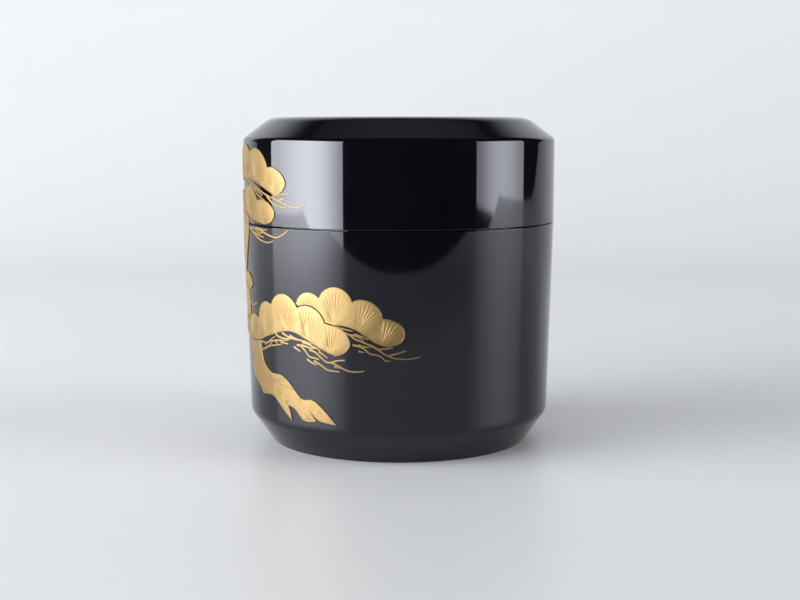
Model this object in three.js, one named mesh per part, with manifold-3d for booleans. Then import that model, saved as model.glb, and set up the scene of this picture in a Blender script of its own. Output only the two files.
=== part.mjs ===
// A lacquered tea caddy: a turned wooden body with an upright lip, and a lift-off lid that slides over it.
// Both are coated in black lacquer, and a pine tree in raised gold grows round the walls of body and lid.
// Millimetres, +Z up, origin at the centre of the standing face, front of the caddy towards -Y.

import * as THREE from "three";
import { mergeVertices } from "three/addons/utils/BufferGeometryUtils.js";
import Module from "manifold-3d";

// Outside form
const OUTER_RADIUS = 33;
const BODY_HEIGHT = 46.4;
const BODY_TAPER = 1.05;
const BASE_CHAMFER_WIDTH = 4.5;
const BASE_CHAMFER_RISE = 6.4;
const LID_HEIGHT = 21.7;
const LID_CHAMFER_WIDTH = 5.8;
const LID_CHAMFER_DROP = 4.4;

// Walls and the fit of the lid
const SEAM_GAP = 0.2;
const LID_WALL = 2.4;
const LID_TOP_THICKNESS = 3.4;
const LIP_CLEARANCE = 0.25;
const LIP_WALL = 1.6;
const LIP_HEIGHT = 9;
const FLOOR_THICKNESS = 4;
const LACQUER_THICKNESS = 0.4;

// Roundings of the lacquered corners
const BASE_CHAMFER_ROUND = 3;
const SHOULDER_ROUND = 1.2;
const TOP_EDGE_ROUND = 4.5;
const LIP_ROUND = 0.6;
const FLOOR_ROUND = 5;
const CEILING_ROUND = 3;

// Raised gold
const GOLD_THICKNESS = 0.2;
const GOLD_BED = 0.05;
const GOLD_SPACING = 0.3;
const TWIG_WIDTH = 0.5;
const TWIG_TIP_SHARE = 0.6;

// Fineness of the facets
const SEGMENTS = 48;
const ROUND_STEPS = 2;
const SCALLOP_STEPS = 5;
const CURVE_STEPS = 2;
const SPACING_STEPS = 6;

const FINISHES = {
  wood: { color: 0xb08a5c, roughness: 0.7, metalness: 0 },
  lacquer: { color: 0x0c0b0b, roughness: 0.08, metalness: 0 },
  gold: { color: 0xc6a765, roughness: 0.4, metalness: 0.85 },
};

const wasm = await Module();
wasm.setup();

// Half sections

// Corners of the core: the finished ones moved into the material by an even depth, as [radius, height, rounding].
// Outer corners are crisp under the coat, and hollow ones stay rounded.
function inset(corners, depth) {
  const leftOf = (from, to) => new THREE.Vector2(from[1] - to[1], to[0] - from[0]).normalize();
  const last = corners.length - 1;
  return corners.map((corner, i) => {
    const before = leftOf(corners[Math.max(i - 1, 0)], corners[Math.max(i, 1)]);
    const after = leftOf(corners[Math.min(i, last - 1)], corners[Math.min(i + 1, last)]);
    const reach = depth / (1 + before.dot(after));
    const isHollow = before.cross(after) < 0;
    return [
      corner[0] + (before.x + after.x) * reach,
      corner[1] + (before.y + after.y) * reach,
      isHollow && corner[2] ? corner[2] + depth : 0,
    ];
  });
}

// The points of each corner in turn: the corner itself, or the curve that rounds it.
function softened(corners) {
  const points = corners.map(([radius, height]) => new THREE.Vector2(radius, height));
  return points.map((corner, i) => {
    const rounding = corners[i][2];
    if (!rounding) return [corner];
    const back = points[i - 1].clone().sub(corner).normalize();
    const ahead = points[i + 1].clone().sub(corner).normalize();
    const setback = rounding / Math.tan(back.angleTo(ahead) / 2);
    const start = corner.clone().addScaledVector(back, setback);
    const end = corner.clone().addScaledVector(ahead, setback);
    return new THREE.QuadraticBezierCurve(start, corner, end).getPoints(ROUND_STEPS);
  });
}

// The half section between two corners of the finished surface and the same corners of the core.
function coatSection(finished, core, first, last) {
  const outside = finished.slice(first, last + 1).flat();
  const inside = core.slice(first, last + 1).flat().reverse();
  return [...outside, ...inside];
}

// A half section turned about the vertical axis. It starts and ends on the axis, or is closed here.
function turned(section) {
  const meetsAxis = section[0].x === 0 && section.at(-1).x === 0;
  const outline = meetsAxis ? section : [...section, section[0]];
  return new THREE.LatheGeometry(outline, SEGMENTS).rotateX(Math.PI / 2);
}

// A closed section with two neighbouring points on the axis, begun at the second of them.
function fromAxis(section) {
  const start = section.findIndex((point, i) => point.x === 0 && section.at(i - 1).x === 0);
  return [...section.slice(start), ...section.slice(0, start)];
}

// Solids for cutting and joining

function solidOf(geometry) {
  geometry.deleteAttribute("normal");
  geometry.deleteAttribute("uv");
  const merged = mergeVertices(geometry);
  return new wasm.Manifold(new wasm.Mesh({
    numProp: 3,
    vertProperties: merged.attributes.position.array,
    triVerts: Uint32Array.from(merged.index.array),
  }));
}

function joined(solids) {
  return solids.reduce((sum, solid) => sum.add(solid));
}

function geometryOf(solid) {
  const { vertProperties, triVerts } = solid.getMesh();
  const geometry = new THREE.BufferGeometry();
  geometry.setAttribute("position", new THREE.BufferAttribute(vertProperties, 3));
  geometry.setIndex(new THREE.BufferAttribute(triVerts, 1));
  geometry.computeVertexNormals();
  return geometry;
}

function pieceOf(name, geometry, finish) {
  const piece = new THREE.Mesh(geometry, new THREE.MeshStandardMaterial(FINISHES[finish]));
  piece.name = name;
  return piece;
}

// Outlines drawn on a wall, as [degrees round from the front, percent of the wall's height]

// A drawn point as a length along the circumference and a height.
function onWall(wall, [degrees, percent]) {
  const arc = THREE.MathUtils.degToRad(degrees) * OUTER_RADIUS;
  return new THREE.Vector2(arc, THREE.MathUtils.lerp(wall.foot.y, wall.top.y, percent / 100));
}

// The arc of a circle from a to c by way of b.
function arcThrough(a, b, c) {
  const toB = b.clone().sub(a);
  const toC = c.clone().sub(a);
  const turn = toB.cross(toC);
  const centre = new THREE.Vector2(
    (toC.y * toB.lengthSq() - toB.y * toC.lengthSq()) / (2 * turn),
    (toB.x * toC.lengthSq() - toC.x * toB.lengthSq()) / (2 * turn),
  ).add(a);
  const startAngle = a.clone().sub(centre).angle();
  const endAngle = c.clone().sub(centre).angle();
  const radius = a.distanceTo(centre);
  const arc = new THREE.EllipseCurve(centre.x, centre.y, radius, radius, startAngle, endAngle, turn < 0);
  return arc.getPoints(SCALLOP_STEPS);
}

function curveThrough(points) {
  return new THREE.SplineCurve(points).getPoints((points.length - 1) * CURVE_STEPS);
}

// A bough: scallops that run from notch by way of crown to notch, a round tip, and an underside back again.
function boughOutline(wall, { scallops, tip, underside }) {
  const rim = scallops.map((point) => onWall(wall, point));
  const outline = [];
  for (let i = 0; i + 2 < rim.length; i += 2) {
    outline.push(...arcThrough(rim[i], rim[i + 1], rim[i + 2]).slice(0, -1));
  }
  const end = [rim.at(-1), ...tip.map((point) => onWall(wall, point))];
  const below = [end.at(-1), ...underside.map((point) => onWall(wall, point)), rim[0]];
  outline.push(...curveThrough(end).slice(0, -1), ...curveThrough(below).slice(0, -1));
  return outline;
}

// A stretch of trunk: smooth edges that meet at sharp corners.
function trunkOutline(wall, edges) {
  return edges.flatMap((edge) => curveThrough(edge.map((point) => onWall(wall, point))).slice(0, -1));
}

// A twig: a ribbon along a curve that narrows to its tip.
function twigOutline(wall, drawn) {
  const points = drawn.map((point) => onWall(wall, point));
  const spine = new THREE.SplineCurve(points);
  const steps = (points.length - 1) * CURVE_STEPS;
  const near = [];
  const far = [];
  for (let i = 0; i <= steps; i += 1) {
    const middle = spine.getPoint(i / steps);
    const along = spine.getTangent(i / steps);
    const half = (TWIG_WIDTH / 2) * THREE.MathUtils.lerp(1, TWIG_TIP_SHARE, i / steps);
    near.push(new THREE.Vector2(middle.x - along.y * half, middle.y + along.x * half));
    far.unshift(new THREE.Vector2(middle.x + along.y * half, middle.y - along.x * half));
  }
  return [...near, ...far];
}

// Gold on a wall

// A straight punch that goes through the wall square to the middle of an outline drawn on it.
function punch(outline) {
  const arcs = outline.map((point) => point.x);
  const middle = (Math.min(...arcs) + Math.max(...arcs)) / 2;
  const angle = middle / OUTER_RADIUS;
  const face = outline.map(({ x, y }) => {
    return new THREE.Vector2(OUTER_RADIUS * Math.sin((x - middle) / OUTER_RADIUS), y);
  });
  const across = new THREE.Vector3(Math.cos(angle), Math.sin(angle), 0);
  const up = new THREE.Vector3(0, 0, 1);
  const outwards = new THREE.Vector3().crossVectors(across, up);
  const place = new THREE.Matrix4().makeBasis(across, up, outwards);
  place.setPosition(outwards.clone().multiplyScalar(OUTER_RADIUS / 2));
  const prism = new THREE.ExtrudeGeometry(new THREE.Shape(face), { depth: OUTER_RADIUS, bevelEnabled: false });
  return solidOf(prism.applyMatrix4(place));
}

// The same punch with room all round it, as a ring of shifted copies.
function widePunch(outline, room) {
  const copies = [];
  for (let i = 0; i < SPACING_STEPS; i += 1) {
    const angle = (2 * Math.PI * i) / SPACING_STEPS;
    const shift = new THREE.Vector2(Math.cos(angle), Math.sin(angle)).multiplyScalar(room);
    copies.push(punch(outline.map((point) => point.clone().add(shift))));
  }
  return joined(copies);
}

// A thin even shell just outside a wall.
function goldShell({ foot, top }) {
  const inner = GOLD_BED;
  const outer = GOLD_BED + GOLD_THICKNESS;
  return solidOf(turned([
    new THREE.Vector2(foot.x + inner, foot.y),
    new THREE.Vector2(foot.x + outer, foot.y),
    new THREE.Vector2(top.x + outer, top.y),
    new THREE.Vector2(top.x + inner, top.y),
  ]));
}

// The gold fields of one wall. Boughs and trunk keep room round them, which later fields are cut back by.
function goldFields(wall, fields) {
  const shell = goldShell(wall);
  const taken = [];
  return fields.map(({ name, bough, trunk, twigs = [] }) => {
    const broad = [];
    if (bough) broad.push(boughOutline(wall, bough));
    if (trunk) broad.push(trunkOutline(wall, trunk));
    const outlines = [...broad, ...twigs.map((twig) => twigOutline(wall, twig))];
    const whole = joined(outlines.map(punch)).intersect(shell);
    const field = taken.reduce((rest, room) => rest.subtract(room), whole);
    taken.push(...broad.map((outline) => widePunch(outline, GOLD_SPACING)));
    return pieceOf(name, geometryOf(field), "gold");
  });
}

// Body: a cup whose lip stands up inside the lid

const lipRadius = OUTER_RADIUS - LID_WALL - LIP_CLEARANCE;
const boreRadius = lipRadius - LIP_WALL;
const wallFootRadius = OUTER_RADIUS - BODY_TAPER;
const lipTop = BODY_HEIGHT + LIP_HEIGHT;

const bodyCorners = [
  [0, 0, 0],
  [wallFootRadius - BASE_CHAMFER_WIDTH, 0, 0],
  [wallFootRadius, BASE_CHAMFER_RISE, BASE_CHAMFER_ROUND],
  [OUTER_RADIUS, BODY_HEIGHT, 0],
  [lipRadius, BODY_HEIGHT, 0],
  [lipRadius, lipTop, LIP_ROUND],
  [boreRadius, lipTop, LIP_ROUND],
  [boreRadius, FLOOR_THICKNESS, FLOOR_ROUND],
  [0, FLOOR_THICKNESS, 0],
];
const [baseCentre, baseEdge, chamferTop, seamEdge, , , , , floorCentre] = bodyCorners.keys();
const bodyFinish = softened(bodyCorners);
const bodyCore = softened(inset(bodyCorners, LACQUER_THICKNESS));
const bodyWall = { foot: bodyFinish[chamferTop].at(-1), top: bodyFinish[seamEdge][0] };

function bodyPieces() {
  const base = coatSection(bodyFinish, bodyCore, baseCentre, baseEdge);
  const outside = coatSection(bodyFinish, bodyCore, baseEdge, seamEdge);
  const inside = coatSection(bodyFinish, bodyCore, seamEdge, floorCentre);
  return [
    pieceOf("body_core", turned(bodyCore.flat()), "wood"),
    pieceOf("body_base_lacquer", turned(base), "lacquer"),
    pieceOf("body_outer_lacquer", turned(outside), "lacquer"),
    pieceOf("body_inner_lacquer", turned(fromAxis(inside)), "lacquer"),
  ];
}

// Lid: a chamfered cap, drawn from its own rim upwards

const shoulderRadius = OUTER_RADIUS - LID_CHAMFER_WIDTH;
const lidBore = OUTER_RADIUS - LID_WALL;
const ceiling = LID_HEIGHT - LID_TOP_THICKNESS;

const lidCorners = [
  [0, ceiling, 0],
  [lidBore, ceiling, CEILING_ROUND],
  [lidBore, 0, 0],
  [OUTER_RADIUS, 0, 0],
  [OUTER_RADIUS, LID_HEIGHT - LID_CHAMFER_DROP, SHOULDER_ROUND],
  [shoulderRadius, LID_HEIGHT, TOP_EDGE_ROUND],
  [0, LID_HEIGHT, 0],
];
const [ceilingCentre, , , rimEdge, shoulder, , topCentre] = lidCorners.keys();
const lidFinish = softened(lidCorners);
const lidCore = softened(inset(lidCorners, LACQUER_THICKNESS));
const lidWall = { foot: lidFinish[rimEdge][0], top: lidFinish[shoulder][0] };

function lidPieces() {
  const inside = coatSection(lidFinish, lidCore, ceilingCentre, rimEdge);
  const outside = coatSection(lidFinish, lidCore, rimEdge, topCentre);
  return [
    pieceOf("lid_core", turned(lidCore.flat()), "wood"),
    pieceOf("lid_inner_lacquer", turned(inside), "lacquer"),
    pieceOf("lid_outer_lacquer", turned(fromAxis(outside)), "lacquer"),
  ];
}

// The pine on the body: boughs lie over the trunk, and twigs run out below the boughs

const bodyPine = [
  {
    name: "pine_front_bough",
    bough: {
      scallops: [
        [-86, 43.5], [-80, 50.5], [-74, 48.5], [-67.5, 53], [-61.5, 51.5], [-56.5, 61], [-52, 60],
        [-45, 66.5], [-38, 60], [-32.5, 61.5], [-26.5, 53.5],
      ],
      tip: [[-23.5, 52.5], [-19, 50], [-17, 44], [-19, 39.5], [-22.5, 37.5]],
      underside: [[-28, 40.5], [-34.5, 45], [-42, 48], [-53.5, 44], [-61, 40.5], [-70.5, 39.5], [-79, 41]],
    },
  },
  {
    name: "pine_back_bough",
    bough: {
      scallops: [
        [-38.5, 61.5], [-33.5, 68.5], [-28.5, 66], [-22.5, 72], [-16, 65], [-11, 66], [-5.5, 57],
      ],
      tip: [[-3, 56.5], [0.5, 54], [2, 49.5], [0.5, 45], [-3.5, 43]],
      underside: [[-8, 45], [-14, 50.5], [-19, 53], [-26, 53.5], [-32, 57.5]],
    },
  },
  {
    name: "pine_side_bough",
    bough: {
      scallops: [[-100, 66], [-94.5, 75], [-88.5, 73.5], [-83, 79], [-78.5, 73]],
      tip: [[-74, 74.5], [-69.5, 73], [-67, 69.5], [-68, 67], [-71, 65.5]],
      underside: [[-78, 67.5], [-87, 68], [-94.5, 64.5]],
    },
  },
  {
    name: "pine_left_bough",
    bough: {
      scallops: [[-127.5, 45.5], [-122.5, 54.5], [-116.5, 52.5], [-109.5, 60.5], [-102.5, 57]],
      tip: [[-98, 57], [-94, 54.5], [-92, 51], [-93, 47.5], [-95.5, 46.5]],
      underside: [[-102.5, 47.5], [-111, 49], [-120, 43.5]],
    },
  },
  {
    name: "pine_high_bough",
    bough: {
      scallops: [[-124, 82], [-118, 91], [-112.5, 89.5], [-106, 96], [-99.5, 91.5]],
      tip: [[-96, 91], [-93, 88], [-92.5, 84.5], [-94, 82], [-96.5, 81]],
      underside: [[-104, 84], [-113, 84.5], [-120, 80.5]],
    },
  },
  {
    name: "pine_trunk_roots",
    trunk: [
      [
        [-57.5, 46.5], [-60, 40], [-58.5, 30], [-53.5, 24.5], [-47, 24], [-42.5, 20.5], [-37, 13.5],
        [-32.5, 13.5], [-28.5, 10.5], [-22.5, 2],
      ],
      [[-22.5, 2], [-29.5, 3.5], [-33.5, 8]],
      [[-33.5, 8], [-32, 5], [-30.5, 3]],
      [[-30.5, 3], [-36, 2.5], [-40.5, 8], [-44, 9]],
      [[-44, 9], [-42.5, 5], [-42, 1.5]],
      [[-42, 1.5], [-48, 8.5], [-52.5, 12.5], [-59.5, 12]],
      [[-59.5, 12], [-61.5, 15], [-67.5, 20], [-70, 27.5], [-71, 38], [-75.5, 46.5]],
      [[-75.5, 46.5], [-57.5, 46.5]],
    ],
  },
  {
    name: "pine_trunk_middle",
    trunk: [
      [[-68, 48], [-71, 54], [-71.5, 60.5], [-74, 71]],
      [[-74, 71], [-84.5, 71]],
      [[-84.5, 71], [-81.5, 60.5], [-80, 53], [-77.5, 46.5]],
      [[-77.5, 46.5], [-68, 48]],
    ],
    twigs: [[[-73, 61], [-70.5, 58.5], [-67.5, 57.5], [-63, 59.5]]],
  },
  {
    name: "pine_trunk_upper",
    trunk: [
      [[-76, 72], [-73.5, 83.5], [-70, 94], [-69, 100]],
      [[-69, 100], [-80, 100]],
      [[-80, 100], [-81.5, 91.5], [-84.5, 81], [-86.5, 72]],
      [[-86.5, 72], [-76, 72]],
    ],
  },
  {
    name: "pine_front_twigs",
    twigs: [
      [
        [-60, 34.5], [-52, 38.5], [-46, 40], [-40.5, 41.5], [-36, 42], [-31.5, 40], [-28.5, 37], [-25.5, 34],
        [-20.5, 32], [-16.5, 30], [-11.5, 30.5],
      ],
      [[-52, 38.5], [-49.5, 41.5], [-46, 43]],
      [[-46, 40], [-43, 43.5], [-39, 45]],
      [[-36, 42], [-33.5, 37], [-31.5, 35.5], [-29, 35]],
      [[-31.5, 35.5], [-27.5, 31.5], [-21.5, 29.5]],
      [[-25.5, 34], [-22, 35], [-19, 36]],
      [[-33.5, 37], [-32, 33], [-29.5, 32]],
    ],
  },
  {
    name: "pine_back_twigs",
    twigs: [
      [[-16.5, 49], [-14.5, 46.5], [-10, 43], [-7, 41], [-2, 38], [1, 37], [4.5, 37], [8, 38]],
      [[-14.5, 46.5], [-12.5, 42], [-9.5, 39], [-7.5, 38], [-2.5, 35.5]],
      [[-2, 38], [0.5, 39.5], [2.5, 40.5]],
      [[-7, 41], [-3.5, 41.5], [-0.5, 41]],
    ],
  },
  {
    name: "pine_left_twigs",
    twigs: [
      [[-80, 57.5], [-88.5, 50.5], [-95.5, 42.5], [-104, 41.5], [-113, 43], [-120, 39], [-125, 40]],
      [[-95.5, 42.5], [-100.5, 38], [-106, 36.5]],
      [[-104, 41.5], [-111, 38], [-116.5, 36]],
    ],
  },
  {
    name: "pine_high_twigs",
    twigs: [
      [[-82.5, 88.5], [-90.5, 81], [-97, 77.5], [-106, 79.5], [-114.5, 80], [-121.5, 76]],
      [[-106, 79.5], [-110.5, 75.5], [-115.5, 74]],
    ],
  },
  {
    name: "pine_seam_twigs",
    twigs: [
      [[-70, 98], [-63, 96], [-59.5, 93.5], [-54, 92], [-49.5, 93.5]],
      [[-63, 96], [-59, 97.5], [-52.5, 96], [-48, 95], [-44.5, 96.5], [-41.5, 99]],
    ],
  },
];

// The pine's top on the lid

const lidPine = [
  {
    name: "pine_lid_lower_bough",
    bough: {
      scallops: [[-88.5, 13], [-82.5, 38], [-76.5, 36], [-68.5, 47], [-60, 30]],
      tip: [[-56, 31], [-51.5, 27], [-48.5, 17], [-50, 6], [-54.5, 2]],
      underside: [[-62, 5], [-71.5, 12], [-80, 17]],
    },
  },
  {
    name: "pine_lid_upper_bough",
    bough: {
      scallops: [[-92, 53], [-86, 88], [-80, 85], [-73, 97], [-66.5, 88], [-60, 92], [-52.5, 70]],
      tip: [[-49, 70], [-45, 64], [-42.5, 53], [-44, 43], [-47.5, 37]],
      underside: [[-56, 47], [-62.5, 53], [-71.5, 56], [-81.5, 52]],
    },
  },
  {
    name: "pine_lid_left_bough",
    bough: {
      scallops: [[-126.5, 35], [-121.5, 56], [-115.5, 52], [-108.5, 70], [-102, 58]],
      tip: [[-99, 58], [-96.5, 52], [-96, 43], [-97, 35], [-100, 32]],
      underside: [[-107.5, 38], [-116.5, 40], [-123.5, 31]],
    },
  },
  {
    name: "pine_lid_trunk",
    trunk: [
      [[-69, 0], [-70, 8], [-71, 23]],
      [[-71, 23], [-81.5, 23]],
      [[-81.5, 23], [-81, 8], [-80, 0]],
      [[-80, 0], [-69, 0]],
    ],
  },
  {
    name: "pine_lid_upper_twigs",
    twigs: [
      [[-62, 47], [-56, 39], [-52, 34], [-48.5, 32], [-45, 29], [-41.5, 26], [-37.5, 24], [-33.5, 28]],
      [[-48.5, 32], [-44, 34], [-40.5, 37]],
      [[-52, 34], [-47.5, 26], [-44.5, 23], [-42, 22]],
    ],
  },
  {
    name: "pine_lid_left_twigs",
    twigs: [
      [[-90, 24], [-99, 21], [-106, 27], [-114.5, 30], [-122.5, 20]],
      [[-106, 27], [-110.5, 19], [-115.5, 15]],
    ],
  },
];

// The whole caddy, with the lid closed

const body = new THREE.Group();
body.add(...bodyPieces(), ...goldFields(bodyWall, bodyPine));

const lid = new THREE.Group();
lid.add(...lidPieces(), ...goldFields(lidWall, lidPine));
lid.position.z = BODY_HEIGHT + SEAM_GAP;

const caddy = new THREE.Group();
caddy.add(body, lid);

export default caddy;
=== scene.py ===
"""Dresses a lacquered tea caddy: wood turned to shape, black lacquer over it, and a pine in raised gold.

Metres, +Z up, origin at the centre of the standing face, front of the caddy towards -Y.
The gold is drawn flat first: x runs round the wall, y is the height and z stands off the lacquer.
Each tree of nodes ends by wrapping that drawing round the wall.
"""

import collections
import math

import bpy
import numpy as np
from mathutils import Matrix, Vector
from mathutils.geometry import delaunay_2d_cdt


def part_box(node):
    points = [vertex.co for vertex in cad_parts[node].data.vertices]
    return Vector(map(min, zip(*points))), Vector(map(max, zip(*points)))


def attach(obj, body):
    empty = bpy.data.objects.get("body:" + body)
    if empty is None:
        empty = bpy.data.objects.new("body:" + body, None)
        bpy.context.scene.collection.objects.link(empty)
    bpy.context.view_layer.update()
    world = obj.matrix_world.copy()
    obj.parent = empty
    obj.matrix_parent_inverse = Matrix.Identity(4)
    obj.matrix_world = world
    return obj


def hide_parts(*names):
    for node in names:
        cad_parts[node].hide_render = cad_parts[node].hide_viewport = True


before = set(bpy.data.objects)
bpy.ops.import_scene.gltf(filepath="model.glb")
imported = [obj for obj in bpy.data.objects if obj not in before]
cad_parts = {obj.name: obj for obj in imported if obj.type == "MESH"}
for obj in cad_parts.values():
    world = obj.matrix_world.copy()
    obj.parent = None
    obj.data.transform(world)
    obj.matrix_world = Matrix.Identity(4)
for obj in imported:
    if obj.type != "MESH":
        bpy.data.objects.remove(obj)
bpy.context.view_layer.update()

bl_info = {
    "name": "Lacquer tea caddy",
    "version": (1, 0, 0),
    "blender": (4, 5, 0),
    "location": "3D View > Sidebar > Tea caddy",
    "description": "Turned wood, black lacquer coats and a pine in raised gold",
    "category": "Object",
}

MM = 0.001
BODY = "caddy_body"
LID = "caddy_lid"
ON_AXIS = 1e-9  # a point nearer to the turning axis than this lies on it

_, BODY_COAT_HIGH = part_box("body_outer_lacquer")
LID_COAT_LOW, LID_COAT_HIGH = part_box("lid_outer_lacquer")


# Settings

def length(name, description, default):
    return bpy.props.FloatProperty(
        name=name, description=description, default=default, min=0, precision=5, unit="LENGTH",
        subtype="DISTANCE",
    )


def count(name, description, default):
    return bpy.props.IntProperty(name=name, description=description, default=default, min=1)


def share(name, description, default):
    return bpy.props.FloatProperty(
        name=name, description=description, default=default, min=0, max=1, subtype="FACTOR",
    )


def radiance(name, description, default):
    return bpy.props.FloatProperty(name=name, description=description, default=default, min=0)


def colour(name, description, default):
    return bpy.props.FloatVectorProperty(
        name=name, description=description, default=default, size=3, min=0, max=1, subtype="COLOR",
    )


class CaddyForm(bpy.types.PropertyGroup):
    """Sizes of the turned body and lid."""

    outer_radius: length("Outer radius", "Radius of body and lid at the seam", LID_COAT_HIGH.x)
    body_height: length("Body height", "Standing face to the seam", BODY_COAT_HIGH.z)
    body_taper: length("Body taper", "How much the wall draws in towards its foot", 1.05 * MM)
    base_chamfer_width: length("Base chamfer width", "How far the base chamfer runs inwards", 4.5 * MM)
    base_chamfer_rise: length("Base chamfer rise", "How far the base chamfer runs upwards", 6.4 * MM)
    lid_rim: length("Lid rim", "Height of the closed lid's rim", LID_COAT_LOW.z)
    lid_height: length("Lid height", "Rim to top of the lid", LID_COAT_HIGH.z - LID_COAT_LOW.z)
    lid_chamfer_width: length("Lid chamfer width", "How far the top chamfer runs inwards", 5.8 * MM)
    lid_chamfer_drop: length("Lid chamfer drop", "How far the top chamfer runs downwards", 4.4 * MM)
    lid_wall: length("Lid wall", "Thickness of the lid's wall", 2.4 * MM)
    lid_top: length("Lid top", "Thickness of the lid's top", 3.4 * MM)
    lip_clearance: length("Lip clearance", "Room between the lip and the lid", 0.25 * MM)
    lip_wall: length("Lip wall", "Thickness of the upright lip", 1.6 * MM)
    lip_height: length("Lip height", "How far the lip stands up inside the lid", 9 * MM)
    floor_thickness: length("Floor thickness", "Standing face to the floor of the tea space", 4 * MM)
    lacquer: length("Lacquer", "Thickness of the lacquer coats", 0.4 * MM)
    base_chamfer_round: length("Base chamfer rounding", "Rounding above the base chamfer", 3 * MM)
    shoulder_round: length("Shoulder rounding", "Rounding below the top chamfer", 1.2 * MM)
    top_edge_round: length("Top edge rounding", "Rounding above the top chamfer", 4.5 * MM)
    lip_round: length("Lip rounding", "Rounding of the lip's edges", 0.6 * MM)
    floor_round: length("Floor rounding", "Hollow rounding at the floor of the tea space", 5 * MM)
    ceiling_round: length("Ceiling rounding", "Hollow rounding under the lid's top", 3 * MM)
    edge_round: length("Edge rounding", "Softness of the edges at the seam and the base", 0.12 * MM)
    segments: count("Segments", "Facets round the caddy", 192)
    round_steps: count("Rounding steps", "Facets across a rounding", 8)


class PineGold(bpy.types.PropertyGroup):
    """Sizes of the raised gold."""

    plate_height: length("Plate height", "Gold at the edge of a bough or trunk", 0.09 * MM)
    pillow_height: length("Pillow height", "How much more the middle of a bough stands up", 0.014 * MM)
    pillow_reach: length("Pillow reach", "How far from its edge a bough goes on rising", 0.7 * MM)
    bed_depth: length("Bed depth", "How deep the gold is bedded in the lacquer", 0.05 * MM)
    spacing: length("Spacing", "Bare lacquer between neighbouring fields", 0.3 * MM)
    facet: length("Facet", "Distance between points across a field", 0.4 * MM)
    rim_radius: length("Rim radius", "Radius of the raised line along an edge", 0.075 * MM)
    needle_spacing: length("Needle spacing", "Distance between needles at their tips", 0.95 * MM)
    needle_width: length("Needle width", "Width of a needle", 0.22 * MM)
    needle_height: length("Needle height", "How far a needle stands off its bough", 0.036 * MM)
    twig_width: length("Twig width", "Width of a twig where it springs", 0.5 * MM)
    twig_height: length("Twig height", "How far a twig stands off the lacquer", 0.1 * MM)
    twig_tip: share("Twig tip", "Width of a twig's tip as a share of its start", 0.55)
    bark_length: length("Bark stroke length", "Length of the longest stroke on the bark", 0.7 * MM)
    bark_height: length("Bark stroke height", "How far a bark stroke stands up", 0.006 * MM)
    seed: count("Seed", "Seed of the needles' and strokes' small differences", 7)


class CaddyFinish(bpy.types.PropertyGroup):
    """Colours of the finishes and of the light, with painted light and shade on the paper and on the studio
    walls.
    """

    lacquer: colour("Lacquer", "Black lacquer", (0.001, 0.001, 0.0026))
    lacquer_warm: colour("Warm lacquer", "Black lacquer with a little brown in it", (0.003, 0.0025, 0.003))
    gold: colour("Gold", "Gold powder", (0.37, 0.252, 0.099))
    gold_root: colour("Root gold", "Gold powder towards the roots", (0.275, 0.188, 0.073))
    gold_lid: colour("Lid gold", "Gold powder on the lid", (0.295, 0.198, 0.074))
    gold_deep: colour("Deep gold", "Gold powder where it lies thin", (0.275, 0.172, 0.057))
    wood: colour("Wood", "Early wood of the core", (0.5, 0.33, 0.17))
    wood_ring: colour("Wood ring", "Late wood of the core", (0.3, 0.17, 0.075))
    paper: colour("Paper", "Floor and backdrop", (0.61, 0.616, 0.621))
    # The darker front and near end of the paper are painted shadow, as cast by the camera and the one behind
    # it.
    paper_front_shadow: colour("Front of the paper", "Floor in front of the caddy", (0.505, 0.512, 0.519))
    paper_near_shadow: colour("Near end of the paper", "Floor below the camera", (0.35, 0.354, 0.358))
    # The paler left and right of the paper are painted light, as thrown by the windows on both sides.
    paper_left_lit: colour("Left of the paper", "Floor and backdrop far to the left", (0.85, 0.854, 0.86))
    paper_right_lit: colour("Right of the paper", "Floor and backdrop far to the right", (0.75, 0.754, 0.76))
    ceiling: colour("Ceiling", "Ceiling behind the caddy", (0.22, 0.22, 0.226))
    # Near-black walls: painted shade that stands in for the dim room round the studio.
    room: colour("Room", "Walls of the studio", (0.022, 0.022, 0.026))
    surround: colour("Surround", "Seen beyond the floor and the backdrop", (0.82, 0.83, 0.85))
    window_tint: colour("Window tint", "Colour of the windows' light", (0.97, 0.985, 1))
    fill_tint: colour("Fill tint", "Colour of the fills from above and in front", (0.94, 0.955, 1))


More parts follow.
